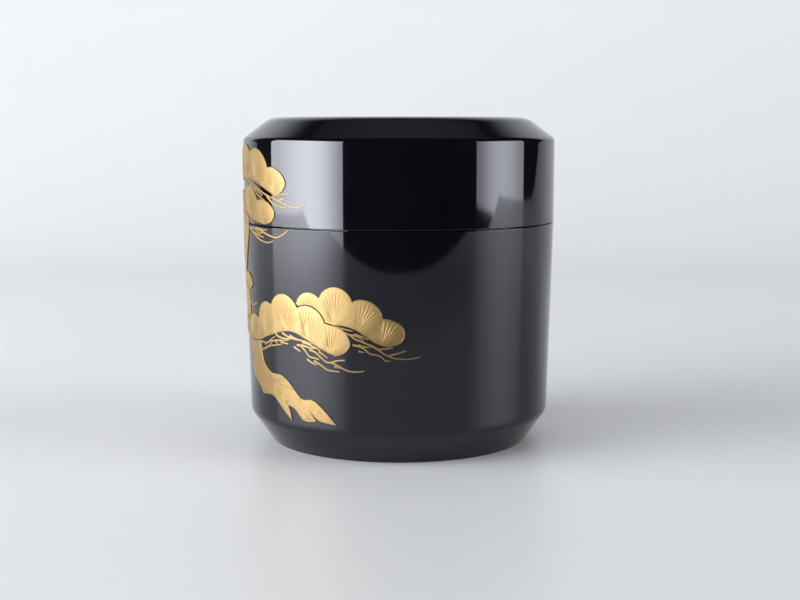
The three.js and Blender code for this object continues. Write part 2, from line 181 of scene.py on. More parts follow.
class StudioSet(bpy.types.PropertyGroup):
    """Floor, room, windows and camera."""

    floor_front: length("Floor front", "Distance of the floor's front edge", 0.27)
    floor_left: length("Floor left", "Distance of the floor's left edge", 0.8)
    floor_right: length("Floor right", "Distance of the floor's right edge", 1.06)
    floor_taper: share("Floor taper", "How fast the floor's right edge draws in behind the caddy", 0.3)
    sweep_start: length("Sweep start", "Distance at which the floor starts to rise", 0.33)
    sweep_radius: length("Sweep radius", "Radius of the rise behind the caddy", 0.4)
    sweep_height: length("Sweep height", "Height of the backdrop", 1.3)
    room_front: length("Room front", "Distance of the wall behind the camera", 2)
    room_back: length("Room back", "Distance of the wall behind the backdrop", 1.6)
    room_top: length("Room top", "Height of the room above the floor", 1.6)
    room_bottom: length("Room bottom", "Depth of the room below the floor", 0.8)
    ceiling_front: length("Ceiling front", "Distance behind the caddy at which the ceiling starts", 0.2)
    ceiling_back: length("Ceiling back", "Distance behind the caddy at which the ceiling ends", 1.5)
    ceiling_height: length("Ceiling height", "Height of the ceiling", 1.55)
    left_gap: length("Left gap", "Floor's left edge to the left window", 0.05)
    right_gap: length("Right gap", "Floor's right edge to the right window", 0.03)
    wall_gap: length("Wall gap", "Windows to the walls behind them", 0.01)
    left_near: length("Left near end", "How far the left window reaches forwards", 1.02)
    right_near: length("Right near end", "How far the right window reaches forwards", 0.72)
    windows_far: length("Far end", "How far both windows reach back", 0.2)
    left_top: length("Left top", "Height of the left window's top edge above the floor", 0.46)
    left_fill_top: length("Left fill top", "Height of the top of the fill above the left window", 0.62)
    right_top: length("Right top", "Height of the right window's top edge above the floor", 0.4)
    right_fill_top: length("Right fill top", "Height of the top of the fill above the right window", 1.2)
    left_sill: length("Left sill", "Depth of the left window's bottom edge below the floor", 0.06)
    right_sill: length("Right sill", "Depth of the right window's bottom edge below the floor", 0.022)
    glow_depth: length("Glow depth", "Depth of the glow below the left window", 0.5)
    left_light: radiance("Left light", "Radiance of the left window", 13.5)
    right_light: radiance("Right light", "Radiance of the right window", 6.3)
    sill_light: radiance("Sill light", "Radiance of the glow below the left window", 9)
    left_fill: radiance("Left fill", "Radiance of the fill above the left window", 13.5)
    right_fill: radiance("Right fill", "Radiance of the fill above the right window", 3.8)
    overhead_light: radiance("Overhead light", "Radiance of the fill from above", 1)
    front_light: radiance("Front light", "Radiance of the fill from the front", 1.6)
    camera_distance: length("Camera distance", "Camera to the caddy's axis", 0.29219)
    camera_height: length("Camera height", "Camera above the floor", 0.06627)
    camera_side: length("Camera side", "How far the camera stands to the right", 0.24 * MM)
    camera_tilt: bpy.props.FloatProperty(
        name="Camera tilt", description="How far the camera looks down", default=0.1263, unit="ROTATION",
        subtype="ANGLE",
    )
    lens: bpy.props.FloatProperty(
        name="Lens", description="Focal length in millimetres", default=61.3, unit="CAMERA",
    )


# Half sections, as corners of (radius, height, rounding) that go round the wood anticlockwise

def body_corners(form):
    lip = form.outer_radius - form.lid_wall - form.lip_clearance
    bore = lip - form.lip_wall
    foot = form.outer_radius - form.body_taper
    lip_top = form.body_height + form.lip_height
    return [
        (0, 0, 0),
        (foot - form.base_chamfer_width, 0, form.edge_round),
        (foot, form.base_chamfer_rise, form.base_chamfer_round),
        (form.outer_radius, form.body_height, form.edge_round),
        (lip, form.body_height, 0),
        (lip, lip_top, form.lip_round),
        (bore, lip_top, form.lip_round),
        (bore, form.floor_thickness, form.floor_round),
        (0, form.floor_thickness, 0),
    ]


BASE_CENTRE, BASE_EDGE, CHAMFER_TOP, SEAM_EDGE, *_, FLOOR_CENTRE = range(9)


def lid_corners(form):
    bore = form.outer_radius - form.lid_wall
    top = form.lid_rim + form.lid_height
    ceiling = top - form.lid_top
    return [
        (0, ceiling, 0),
        (bore, ceiling, form.ceiling_round),
        (bore, form.lid_rim, 0),
        (form.outer_radius, form.lid_rim, form.edge_round),
        (form.outer_radius, top - form.lid_chamfer_drop, form.shoulder_round),
        (form.outer_radius - form.lid_chamfer_width, top, form.top_edge_round),
        (0, top, 0),
    ]


CEILING_CENTRE, _, _, RIM_EDGE, SHOULDER, _, TOP_CENTRE = range(7)


def inset(corners, depth):
    """The corners moved an even depth into the wood. Outer corners turn crisp, hollow ones stay rounded."""
    places = [Vector(corner[:2]) for corner in corners]
    runs = [(b - a).normalized() for a, b in zip(places, places[1:])]
    inner = []
    for i, (place, corner) in enumerate(zip(places, corners)):
        before, after = runs[max(i - 1, 0)].orthogonal(), runs[min(i, len(runs) - 1)].orthogonal()
        moved = place + (before + after) * depth / (1 + before.dot(after))
        is_hollow = before.cross(after) < 0
        inner.append((moved.x, moved.y, corner[2] + depth if is_hollow and corner[2] else 0))
    return inner


def softened(corners, steps):
    """The points of each corner: the corner itself, or an arc with a short straight lead on both sides."""
    lead_share = 0.3
    places = [Vector(corner[:2]) for corner in corners]
    points = []
    for i, (place, corner) in enumerate(zip(places, corners)):
        rounding = corner[2]
        if not rounding:
            points.append([place])
            continue
        back = (places[i - 1] - place).normalized()
        ahead = (places[i + 1] - place).normalized()
        half = back.angle(ahead) / 2
        setback = rounding / math.tan(half)
        centre = place + (back + ahead).normalized() * rounding / math.sin(half)
        start, end = place + back * setback - centre, place + ahead * setback - centre
        sweep = math.pi - 2 * half
        arc = [
            centre + (start * math.sin(sweep * (1 - t)) + end * math.sin(sweep * t)) / math.sin(sweep)
            for t in (step / steps for step in range(steps + 1))
        ]
        lead = setback * lead_share
        points.append([arc[0] + back * lead, *arc, arc[-1] + ahead * lead])
    return points


def coat_section(form, corners, first, last, is_outside):
    """The half section of a coat, out along its face and back along the wood.

    Outside coats take the edges that they share with the others.
    """
    face = softened(corners, form.round_steps)[first:last + 1]
    if not is_outside:
        face[0], face[-1] = face[0][-1:], face[-1][:1]
    wood = softened(inset(corners, form.lacquer), form.round_steps)[first:last + 1]
    section = sum(face, []) + sum(wood, [])[::-1]
    on_axis = [i for i, point in enumerate(section) if point.x < ON_AXIS]
    if not on_axis:
        return section
    start = on_axis[0] if on_axis[-1] == on_axis[0] + 1 and on_axis[0] > 0 else -1
    return section[start + 1:] + section[:start + 1]


# Node trees

class Board:
    """A tree of nodes while it is wired up. A node stands for its first output."""

    def __init__(self, tree):
        self.tree = tree

    def plug(self, value, socket):
        if isinstance(value, bpy.types.Node):
            value = value.outputs[0]
        if isinstance(value, bpy.types.NodeSocket):
            self.tree.links.new(value, socket)
        else:
            socket.default_value = value

    def add(self, kind, inputs=(), **settings):
        node = self.tree.nodes.new(kind)
        for name, value in settings.items():
            setattr(node, name, value)
        for key, value in dict(inputs).items():
            self.plug(value, node.inputs[key])
        return node

    def math(self, operation, *values):
        return self.add("ShaderNodeMath", enumerate(values), operation=operation)

    def vector(self, operation, *values):
        return self.add("ShaderNodeVectorMath", enumerate(values), operation=operation)

    def split(self, vector):
        return self.add("ShaderNodeSeparateXYZ", {"Vector": vector}).outputs

    def combine(self, x, y, z):
        return self.add("ShaderNodeCombineXYZ", {"X": x, "Y": y, "Z": z})

    def attribute(self, name, kind):
        return self.add("GeometryNodeInputNamedAttribute", {"Name": name}, data_type=kind)

    def random(self, low, high, seed):
        inputs = {2: low, 3: high, "Seed": seed}
        return self.add("FunctionNodeRandomValue", inputs, data_type="FLOAT").outputs[1]

    def smooth(self, geometry):
        return self.add("GeometryNodeSetShadeSmooth", {"Geometry": geometry})

    def crease(self, geometry, angle):
        """Smooth shading that breaks at edges sharper than an angle."""
        edges = self.add("GeometryNodeInputMeshEdgeAngle")
        sharp = self.add("FunctionNodeCompare", {"A": edges, "B": angle}, operation="GREATER_THAN")
        inputs = {"Geometry": self.smooth(geometry), "Selection": sharp, "Shade Smooth": False}
        return self.add("GeometryNodeSetShadeSmooth", inputs, domain="EDGE")

    def join(self, *geometries):
        node = self.tree.nodes.new("GeometryNodeJoinGeometry")
        for geometry in reversed(geometries):
            self.plug(geometry, node.inputs[0])
        return node

    def finish(self, geometry, material):
        solid = self.add("GeometryNodeRealizeInstances", {"Geometry": geometry})
        dressed = self.add("GeometryNodeSetMaterial", {"Geometry": solid, "Material": material})
        self.plug(dressed, self.tree.nodes.new("NodeGroupOutput").inputs[0])


def geometry_board(name, inputs):
    """A board for a new tree of geometry nodes, and the tree's inputs by name."""
    tree = bpy.data.node_groups.new(name, "GeometryNodeTree")
    tree.interface.new_socket("Geometry", in_out="INPUT", socket_type="NodeSocketGeometry")
    for socket, kind in inputs.items():
        tree.interface.new_socket(socket, in_out="INPUT", socket_type="NodeSocket" + kind)
    tree.interface.new_socket("Geometry", in_out="OUTPUT", socket_type="NodeSocketGeometry")
    entry = tree.nodes.new("NodeGroupInput")
    return Board(tree), {socket.name: socket for socket in entry.outputs if socket.name}


def once(name, make):
    """The tree or material of that name, made the first time that it is asked for."""
    return bpy.data.node_groups.get(name) or bpy.data.materials.get(name) or make(name)


def loose_object(name, data):
    thing = bpy.data.objects.new(name, data)
    bpy.context.scene.collection.objects.link(thing)
    return thing


DRAWING_MARKS = ("rim", "foot", "tip", "grain")


def grown_piece(name, source, tree, values):
    """A piece that a tree of nodes grows from a source mesh, kept as a plain mesh."""
    piece = loose_object(name, source)
    modifier = piece.modifiers.new(tree.name, "NODES")
    modifier.node_group = tree
    for item in tree.interface.items_tree:
        if item.name in values:
            modifier[item.identifier] = values[item.name]
    evaluated = piece.evaluated_get(bpy.context.evaluated_depsgraph_get())
    mesh = bpy.data.meshes.new_from_object(evaluated)
    piece.modifiers.clear()
    piece.data = mesh
    mesh.name = name
    mesh.materials.clear()
    mesh.materials.append(values["Finish"])
    bpy.data.meshes.remove(source)
    for mark in DRAWING_MARKS:
        if mark in mesh.attributes:
            mesh.attributes.remove(mesh.attributes[mark])
    return piece


def settle(piece, body, node):
    """The piece moves with its body and stands for its node, if there is one."""
    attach(piece, body)
    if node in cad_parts:
        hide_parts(node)


# Turning

def turning_tree(name):
    """Turns a half section about the vertical axis."""
    seam_distance, sharp_angle = 0.001 * MM, math.radians(30)
    board, given = geometry_board(name, {"Radius": "Float", "Segments": "Int", "Finish": "Material"})
    section = board.add("GeometryNodeMeshToCurve", {"Mesh": given["Geometry"]})
    inputs = {"Resolution": given["Segments"], "Radius": given["Radius"]}
    path = board.add("GeometryNodeCurvePrimitiveCircle", inputs)
    turned = board.add("GeometryNodeCurveToMesh", {"Curve": path, "Profile Curve": section})
    joined = board.add("GeometryNodeMergeByDistance", {"Geometry": turned, "Distance": seam_distance})
    board.finish(board.crease(joined, sharp_angle), given["Finish"])
    return board.tree


def turn_piece(name, section, form, material):
    """A turned piece. The section ends on the axis, or is closed here."""
    points = [(point.x - form.outer_radius, -point.y, 0) for point in reversed(section)]
    edges = [(i, i + 1) for i in range(len(points) - 1)]
    if section[0].x > ON_AXIS:
        edges.append((len(points) - 1, 0))
    mesh = bpy.data.meshes.new(name + "_section")
    mesh.from_pydata(points, edges, [])
    values = {"Radius": form.outer_radius, "Segments": form.segments, "Finish": material}
    return grown_piece(name, mesh, once("Turning", turning_tree), values)


def lay_coats(form, corners, coats, body):
    """Coats of lacquer, each over the stretch between two corners of a half section."""
    for node, stretch in coats.items():
        section = coat_section(form, corners, *stretch)
        coat = turn_piece(node + "_coat", section, form, once("Black lacquer", lacquer_material))
        settle(coat, body, node)


# The pine, drawn in degrees round from the front and percent of the straight wall's height

BODY_BOUGHS = {
    "pine_front_bough": {
        "scallops": [
            (-86, 43.5), (-80, 50.5), (-74, 48.5), (-67.5, 53), (-61.5, 51.5), (-56.5, 61), (-52, 60),
            (-45, 66.5), (-38, 60), (-32.5, 61.5), (-26.5, 53.5),
        ],
        "tip": [(-23.5, 52.5), (-19, 50), (-17, 44), (-19, 39.5), (-22.5, 37.5)],
        "underside": [
            (-28, 40.5), (-34.5, 45), (-42, 48), (-53.5, 44), (-61, 40.5), (-70.5, 39.5), (-79, 41),
        ],
        "feet": [(-79, 42), (-68.5, 40.5), (-55.5, 44), (-43.5, 48.5), (-34, 46), (-24.5, 39)],
    },
    "pine_back_bough": {
        "scallops": [
            (-38.5, 61.5), (-33.5, 68.5), (-28.5, 66), (-22.5, 72), (-16, 65), (-11, 66), (-5.5, 57),
        ],
        "tip": [(-3, 56.5), (0.5, 54), (2, 49.5), (0.5, 45), (-3.5, 43)],
        "underside": [(-8, 45), (-14, 50.5), (-19, 53), (-26, 53.5), (-32, 57.5)],
        "feet": [(-32, 58.5), (-22.5, 54), (-14, 51), (-5.5, 44.5)],
    },
    "pine_side_bough": {
        "scallops": [(-100, 66), (-94.5, 75), (-88.5, 73.5), (-83, 79), (-78.5, 73)],
        "tip": [(-74, 74.5), (-69.5, 73), (-67, 69.5), (-68, 67), (-71, 65.5)],
        "underside": [(-78, 67.5), (-87, 68), (-94.5, 64.5)],
        "feet": [(-95, 66), (-84, 68.5), (-73, 66.5)],
    },
    "pine_left_bough": {
        "scallops": [(-127.5, 45.5), (-122.5, 54.5), (-116.5, 52.5), (-109.5, 60.5), (-102.5, 57)],
        "tip": [(-98, 57), (-94, 54.5), (-92, 51), (-93, 47.5), (-95.5, 46.5)],
        "underside": [(-102.5, 47.5), (-111, 49), (-120, 43.5)],
        "feet": [(-121, 45), (-109.5, 49.5), (-98.5, 47.5)],
    },
    "pine_high_bough": {
        "scallops": [(-124, 82), (-118, 91), (-112.5, 89.5), (-106, 96), (-99.5, 91.5)],
        "tip": [(-96, 91), (-93, 88), (-92.5, 84.5), (-94, 82), (-96.5, 81)],
        "underside": [(-104, 84), (-113, 84.5), (-120, 80.5)],
        "feet": [(-118, 82.5), (-106, 85), (-97.5, 82)],
    },
}

LID_BOUGHS = {
    "pine_lid_lower_bough": {
        "scallops": [(-88.5, 13), (-82.5, 38), (-76.5, 36), (-68.5, 47), (-60, 30)],
        "tip": [(-56, 31), (-51.5, 27), (-48.5, 17), (-50, 6), (-54.5, 2)],
        "underside": [(-62, 5), (-71.5, 12), (-80, 17)],
        "feet": [(-82, 19), (-69, 12), (-56.5, 5)],
    },
    "pine_lid_upper_bough": {
        "scallops": [(-92, 53), (-86, 88), (-80, 85), (-73, 97), (-66.5, 88), (-60, 92), (-52.5, 70)],
        "tip": [(-49, 70), (-45, 64), (-42.5, 53), (-44, 43), (-47.5, 37)],
        "underside": [(-56, 47), (-62.5, 53), (-71.5, 56), (-81.5, 52)],
        "feet": [(-85.5, 54), (-73, 58), (-61, 54), (-49.5, 41)],
    },
    "pine_lid_left_bough": {
        "scallops": [(-126.5, 35), (-121.5, 56), (-115.5, 52), (-108.5, 70), (-102, 58)],
        "tip": [(-99, 58), (-96.5, 52), (-96, 43), (-97, 35), (-100, 32)],
        "underside": [(-107.5, 38), (-116.5, 40), (-123.5, 31)],
        "feet": [(-121, 35), (-109, 40), (-100.5, 35)],
    },
}

BODY_TRUNK = {
    "pine_trunk_roots": {
        "edges": [
            [
                (-57.5, 46.5), (-60, 40), (-58.5, 30), (-53.5, 24.5), (-47, 24), (-42.5, 20.5), (-37, 13.5),
                (-32.5, 13.5), (-28.5, 10.5), (-22.5, 2),
            ],
            [(-22.5, 2), (-29.5, 3.5), (-33.5, 8)],
            [(-33.5, 8), (-32, 5), (-30.5, 3)],
            [(-30.5, 3), (-36, 2.5), (-40.5, 8), (-44, 9)],
            [(-44, 9), (-42.5, 5), (-42, 1.5)],
            [(-42, 1.5), (-48, 8.5), (-52.5, 12.5), (-59.5, 12)],
            [(-59.5, 12), (-61.5, 15), (-67.5, 20), (-70, 27.5), (-71, 38), (-75.5, 46.5)],
            [(-75.5, 46.5), (-57.5, 46.5)],
        ],
        "spine": [(-67, 46.5), (-65, 32), (-59, 20), (-49, 15), (-40, 9), (-25, 4)],
    },
    "pine_trunk_middle": {
        "edges": [
            [(-68, 48), (-71, 54), (-71.5, 60.5), (-74, 71)],
            [(-74, 71), (-84.5, 71)],
            [(-84.5, 71), (-81.5, 60.5), (-80, 53), (-77.5, 46.5)],
            [(-77.5, 46.5), (-68, 48)],
        ],
        "spine": [(-73, 47), (-76, 58), (-79, 71)],
    },
    "pine_trunk_upper": {
        "edges": [
            [(-76, 72), (-73.5, 83.5), (-70, 94), (-69, 100)],
            [(-69, 100), (-80, 100)],
            [(-80, 100), (-81.5, 91.5), (-84.5, 81), (-86.5, 72)],
            [(-86.5, 72), (-76, 72)],
        ],
        "spine": [(-81, 72), (-78, 86), (-74.5, 100)],
    },
}

LID_TRUNK = {
    "pine_lid_trunk": {
        "edges": [
            [(-69, 0), (-70, 8), (-71, 23)],
            [(-71, 23), (-81.5, 23)],
            [(-81.5, 23), (-81, 8), (-80, 0)],
            [(-80, 0), (-69, 0)],
        ],
        "spine": [(-74.5, 0), (-76, 23)],
    },
}

BODY_TWIGS = {
    "pine_front_twigs": [
        [(-60, 35), (-54, 38), (-49, 39.5), (-46, 40.5)],
        [(-60, 39.5), (-56, 39.5), (-52, 42.5), (-50, 44)],
        [(-57, 38.5), (-54, 40.5), (-48.5, 42), (-42.5, 43)],
        [(-50, 45.5), (-48, 44), (-44.5, 43.5), (-41, 44), (-38.5, 44.5)],
        [(-46, 46.5), (-43.5, 45), (-40.5, 44), (-36.5, 43.5)],
        [(-47, 41.5), (-43, 41)],
        [(-50, 42), (-49, 40)],
        [(-56.5, 36.5), (-54, 38.5), (-52, 41)],
        [(-42, 45.5), (-38.5, 44), (-35, 43.5), (-32, 42.5)],
        [(-38.5, 41), (-37, 41), (-35, 39), (-33, 36), (-31, 35.5), (-29, 35)],
        [(-40, 40), (-37, 38)],
        [(-36.5, 41.5), (-33, 40.5), (-30, 40.5)],
        [(-36, 43), (-33, 42), (-30.5, 41), (-28.5, 39.5)],
        [(-33, 39.5), (-30.5, 38.5), (-28.5, 36.5), (-26, 34), (-24, 34), (-22, 35), (-19, 35.5)],
        [(-29, 39), (-27, 37.5), (-25.5, 36)],
        [(-34, 34.5), (-32, 33), (-30, 32)],
        [(-31, 34), (-28, 32), (-25.5, 30), (-21, 29.5)],
        [(-24, 34), (-21.5, 32.5), (-18.5, 30.5), (-16.5, 30), (-14, 30), (-12, 30.5)],
        [(-23, 32), (-20.5, 31.5)],
    ],
    "pine_back_twigs": [
        [(-24, 52.5), (-20, 51.5), (-16, 50.5)],
        [
            (-20, 50), (-17, 48.5), (-15, 46.5), (-12, 45), (-9, 43), (-6.5, 41), (-4.5, 39), (-2, 37.5),
            (1, 37), (4, 37), (7.5, 38),
        ],
        [(-15.5, 49), (-13, 48), (-10.5, 46.5)],
        [(-16, 43.5), (-14, 43), (-12, 42), (-10, 39.5), (-8, 39), (-6, 38), (-4.5, 36), (-3, 36)],
        [(-14, 43.5), (-12, 43), (-10, 42.5)],
        [(-14, 40.5), (-12, 40)],
        [(-10, 44), (-7, 42), (-5, 42), (-2, 42.5)],
        [(-17, 48.5), (-14.5, 48), (-12, 46)],
        [(-3.5, 38.5), (-1, 39.5), (2.5, 41)],
    ],
    "pine_left_twigs": [
        [(-80, 57.5), (-88.5, 50.5), (-95.5, 42.5), (-104, 41.5), (-113, 43), (-120, 39), (-125, 40)],
        [(-95.5, 42.5), (-100.5, 38), (-106, 36.5)],
        [(-104, 41.5), (-111, 38), (-116.5, 36)],
        [(-97, 44.5), (-101, 45), (-105.5, 43.5)],
        [(-108, 42.5), (-111.5, 45.5), (-115.5, 45)],
    ],
    "pine_high_twigs": [
        [(-82.5, 88.5), (-90.5, 81), (-97, 77.5), (-106, 79.5), (-114.5, 80), (-121.5, 76)],
        [(-106, 79.5), (-110.5, 75.5), (-115.5, 74)],
        [(-97, 77.5), (-101.5, 75.5), (-105, 76)],
        [(-99, 78), (-102.5, 81.5), (-106.5, 82.5)],
    ],
    "pine_seam_twigs": [
        [(-62, 99), (-56.5, 97.5), (-52.5, 96), (-48, 95), (-44.5, 96.5), (-41.5, 99)],
        [(-69, 98.5), (-65.5, 97), (-59.5, 93.5), (-56.5, 92.5), (-54, 92), (-51, 92.5), (-49.5, 93.5)],
        [(-60, 99), (-58, 98.5), (-53, 98.5)],
        [(-64, 96.5), (-58, 95), (-55.5, 94.5)],
        [(-68, 98), (-63.5, 98.5), (-59, 96.5), (-56, 97)],
    ],
    "pine_side_curl": [
        [(-73, 61), (-70.5, 58.5), (-67.5, 57.5), (-63, 59.5)],
    ],
}

LID_TWIGS = {
    "pine_lid_upper_twigs": [
        [
            (-70.5, 54), (-64.5, 50), (-60, 45), (-56, 40), (-52, 36), (-48.5, 33), (-45, 30), (-41.5, 26),
            (-37.5, 24), (-33.5, 28),
        ],
        [(-50, 34), (-46, 38), (-41, 40)],
        [(-46.5, 31), (-44.5, 33), (-42.5, 34)],
        [(-53, 36), (-49.5, 28), (-45, 24), (-42, 23)],
        [(-66.5, 49), (-62.5, 42), (-58.5, 35), (-54.5, 31)],
        [(-68, 47), (-61, 43), (-56, 36)],
        [(-74, 52), (-69, 46), (-65, 45)],
    ],
    "pine_lid_left_twigs": [
        [(-90, 24), (-99, 21), (-106, 27), (-114.5, 30), (-122.5, 20)],
        [(-106, 27), (-110.5, 19), (-115.5, 15)],
        [(-99, 21), (-103, 14), (-107, 13)],
    ],
    "pine_lid_lower_twigs": [
        [(-79, 14), (-73, 8), (-67.5, 5), (-63, 1.5)],
        [(-75, 6), (-71, 2)],
    ],
}

Wall = collections.namedtuple("Wall", "scale foot_radius foot_height top_radius top_height")


def body_wall(form):
    points = softened(body_corners(form), form.round_steps)
    foot, top = points[CHAMFER_TOP][-2], body_corners(form)[SEAM_EDGE]
    return Wall(form.outer_radius, foot.x, foot.y, top[0], top[1])


def lid_wall(form):
    foot, top = lid_corners(form)[RIM_EDGE], softened(lid_corners(form), form.round_steps)[SHOULDER][1]
    return Wall(form.outer_radius, foot[0], foot[1], top.x, top.y)


def on_wall(wall, drawn):
    """Drawn points as lengths round the wall and heights."""
    degrees, percent = np.array(drawn, float).T
    height = wall.foot_height + (wall.top_height - wall.foot_height) * percent / 100
    return np.column_stack([np.radians(degrees) * wall.scale, height])


# Lines in the flat drawing, as arrays of points

def unit(vectors):
    return vectors / np.linalg.norm(vectors, axis=-1, keepdims=True)


def arc_through(start, middle, end, steps=12):
    """The arc of a circle through three points."""
    chords = np.array([middle - start, end - start])
    centre = start + np.linalg.solve(chords, (chords ** 2).sum(axis=1) / 2)
    first, last = (math.atan2(*(point - centre)[::-1]) for point in (start, end))
    turn = np.linalg.det(chords)
    sweep = (last - first) % (2 * math.pi)
    if turn < 0:
        sweep -= 2 * math.pi
    angles = first + sweep * np.linspace(0, 1, steps + 1)
    return centre + np.linalg.norm(start - centre) * np.column_stack([np.cos(angles), np.sin(angles)])


def curve_through(points, steps=6):
    """A smooth curve through some points."""
    padded = np.vstack([points[:1], points, points[-1:]])
    t = np.linspace(0, 1, steps, endpoint=False)[:, None]
    stretches = []
    for p0, p1, p2, p3 in zip(padded, padded[1:], padded[2:], padded[3:]):
        v1, v2 = (p2 - p0) / 2, (p3 - p1) / 2
        cubic, square = 2 * (p1 - p2) + v1 + v2, 3 * (p2 - p1) - 2 * v1 - v2
        stretches.append(cubic * t ** 3 + square * t ** 2 + v1 * t + p1)
    return np.vstack([*stretches, points[-1:]])


def bend(start, control, end, steps=8):
    """A curve from start to end that sets out towards a control point."""
    t = np.linspace(0, 1, steps + 1)[:, None]
    return start * (1 - t) ** 2 + 2 * control * t * (1 - t) + end * t ** 2


def closed(outline):
    return np.vstack([outline, outline[:1]])


def anticlockwise(outline):
    x, y = outline.T
    area = (x * np.roll(y, -1) - np.roll(x, -1) * y).sum()
    return outline if area > 0 else outline[::-1]


def nearest(points, lines):
    """How far each point lies from the nearest of some lines, and which way that line runs there."""
    distance = np.full(len(points), np.inf)
    heading = np.zeros((len(points), 2))
    for line in lines:
        for start, end in zip(line, line[1:]):
            run = end - start
            along = np.clip((points - start) @ run / (run @ run), 0, 1)
            gap = np.linalg.norm(points - start - along[:, None] * run, axis=1)
            closer = gap < distance
            distance[closer] = gap[closer]
            heading[closer] = unit(run)
    return distance, heading


def is_inside(points, outline):
    x, y = points.T
    odd = np.zeros(len(points), bool)
    for (x1, y1), (x2, y2) in zip(outline, np.roll(outline, -1, axis=0)):
        if y1 != y2:
            odd ^= ((y1 > y) != (y2 > y)) & (x < x1 + (x2 - x1) * (y - y1) / (y2 - y1))
    return odd


def grown(outline, room):
    """An anticlockwise outline moved outwards. Points that would fall into a notch are left out."""
    clear_share = 0.97
    before = unit(outline - np.roll(outline, 1, axis=0))
    after = unit(np.roll(outline, -1, axis=0) - outline)
    along = unit(before + after)
    moved = outline + room * np.column_stack([along[:, 1], -along[:, 0]])
    distance, _ = nearest(moved, [closed(outline)])
    return moved[distance > clear_share * room]


class Bough:
    """A bough's outline, the creases between its fans, and each fan's foot and rim."""

    def __init__(self, wall, drawing):
        rim = on_wall(wall, drawing["scallops"])
        feet = on_wall(wall, drawing["feet"])
        tip = np.vstack([rim[-1:], on_wall(wall, drawing["tip"])])
        under = np.vstack([tip[-1:], on_wall(wall, drawing["underside"]), rim[:1]])
        arcs = [arc_through(*rim[i:i + 3]) for i in range(0, len(rim) - 2, 2)]
        arcs.append(curve_through(tip))
        parts = [*arcs, curve_through(under)]
        self.outline = anticlockwise(np.vstack([part[:-1] for part in parts]))
        self.creases = [self.crease(arc, feet[i:i + 2]) for i, arc in enumerate(arcs[:-1])]
        self.fans = []
        for i, (foot, arc) in enumerate(zip(feet, arcs)):
            before = self.creases[i - 1][:0:-1] if i else arc[:0]
            after = self.creases[i][1:] if i < len(self.creases) else arc[:0]
            self.fans.append((foot, np.vstack([before, arc, after])))

    @staticmethod
    def crease(arc, feet):
        """The edge of a fan that lies over the next one, from the end of its arc to between the feet."""
        swing = 0.4
        notch, end = arc[-1], feet.mean(axis=0)
        control = notch + unit(arc[-1] - arc[-2]) * swing * np.linalg.norm(end - notch)
        return bend(notch, control, end)


def trunk_outline(wall, drawing):
    """A stretch of trunk: smooth edges that meet at sharp corners."""
    return anticlockwise(np.vstack([curve_through(on_wall(wall, edge))[:-1] for edge in drawing["edges"]]))


# Gold laid in the flat drawing

def plate_mesh(name, gold, outline, taken, creases=(), spine=None):
    """A flat field of gold that rises from its edges like a pillow. Its own edges are marked as its rim."""
    row_pitch, inner_triangles, merge_distance = 0.866, 1, 1e-9
    gaps = [grown(other, gold.spacing) for other in taken]
    borders = [closed(line) for line in (outline, *gaps)]
    low, high = outline.min(axis=0), outline.max(axis=0)
    across = np.arange(low[0], high[0], gold.facet)
    up = np.arange(low[1], high[1], gold.facet * row_pitch)
    filling = np.array([(x + gold.facet / 2 * (row % 2), y) for row, y in enumerate(up) for x in across])
    clear = nearest(filling, [*borders, *creases])[0] > gold.facet / 2
    filling = filling[clear & is_inside(filling, outline)]
    points, faces, edges = [], [], []
    for line in (outline, *gaps):
        faces.append(list(range(len(points), len(points) + len(line))))
        points.extend(line)
    for line in creases:
        edges += [(i, i + 1) for i in range(len(points), len(points) + len(line) - 1)]
        points.extend(line)
    points.extend(filling)
    places, _, triangles, _, _, origins = delaunay_2d_cdt(
        [Vector(point) for point in points], edges, faces, inner_triangles, merge_distance,
    )
    kept = [tuple(triangle) for triangle, origin in zip(triangles, origins) if set(origin) == {0}]
    used = sorted({i for triangle in kept for i in triangle})
    renamed = {old: new for new, old in enumerate(used)}
    top = [tuple(renamed[i] for i in triangle) for triangle in kept]
    flat = np.array([places[i] for i in used])
    depth, _ = nearest(flat, [*borders, *creases])
    rise = 1 - (1 - np.clip(depth / gold.pillow_reach, 0, 1)) ** 2
    heights = gold.plate_height + gold.pillow_height * rise
    return solid_plate(name, gold, flat, heights, top, outline, spine)


def solid_plate(name, gold, flat, heights, top, outline, spine):
    """A field's triangles closed with a bed and sides."""
    bed, edge_reach = len(flat), gold.spacing / 20
    directed = {(a, b) for triangle in top for a, b in zip(triangle, triangle[1:] + triangle[:1])}
    border = [(a, b) for a, b in directed if (b, a) not in directed]
    border.sort()
    vertices = [(*place, height) for place, height in zip(flat, heights)]
    vertices += [(*place, -gold.bed_depth) for place in flat]
    faces = top + [tuple(i + bed for i in reversed(triangle)) for triangle in top]
    faces += [(a + bed, b + bed, b, a) for a, b in border]
    mesh = bpy.data.meshes.new(name + "_plate")
    mesh.from_pydata(vertices, [], faces)
    middles = np.array([(flat[a] + flat[b]) / 2 for a, b in border])
    own = nearest(middles, [closed(outline)])[0] < edge_reach
    rim = {frozenset(edge) for edge, is_own in zip(border, own) if is_own}
    marks = mesh.attributes.new("rim", "BOOLEAN", "EDGE")
    marks.data.foreach_set("value", [frozenset(edge.vertices) in rim for edge in mesh.edges])
    if spine is not None:
        _, heading = nearest(flat, [spine])
        grain = np.zeros((2 * bed, 3), np.float32)
        grain[:, :2] = np.vstack([heading, heading])
        mesh.attributes.new("grain", "FLOAT_VECTOR", "POINT").data.foreach_set("vector", grain.ravel())
    return mesh


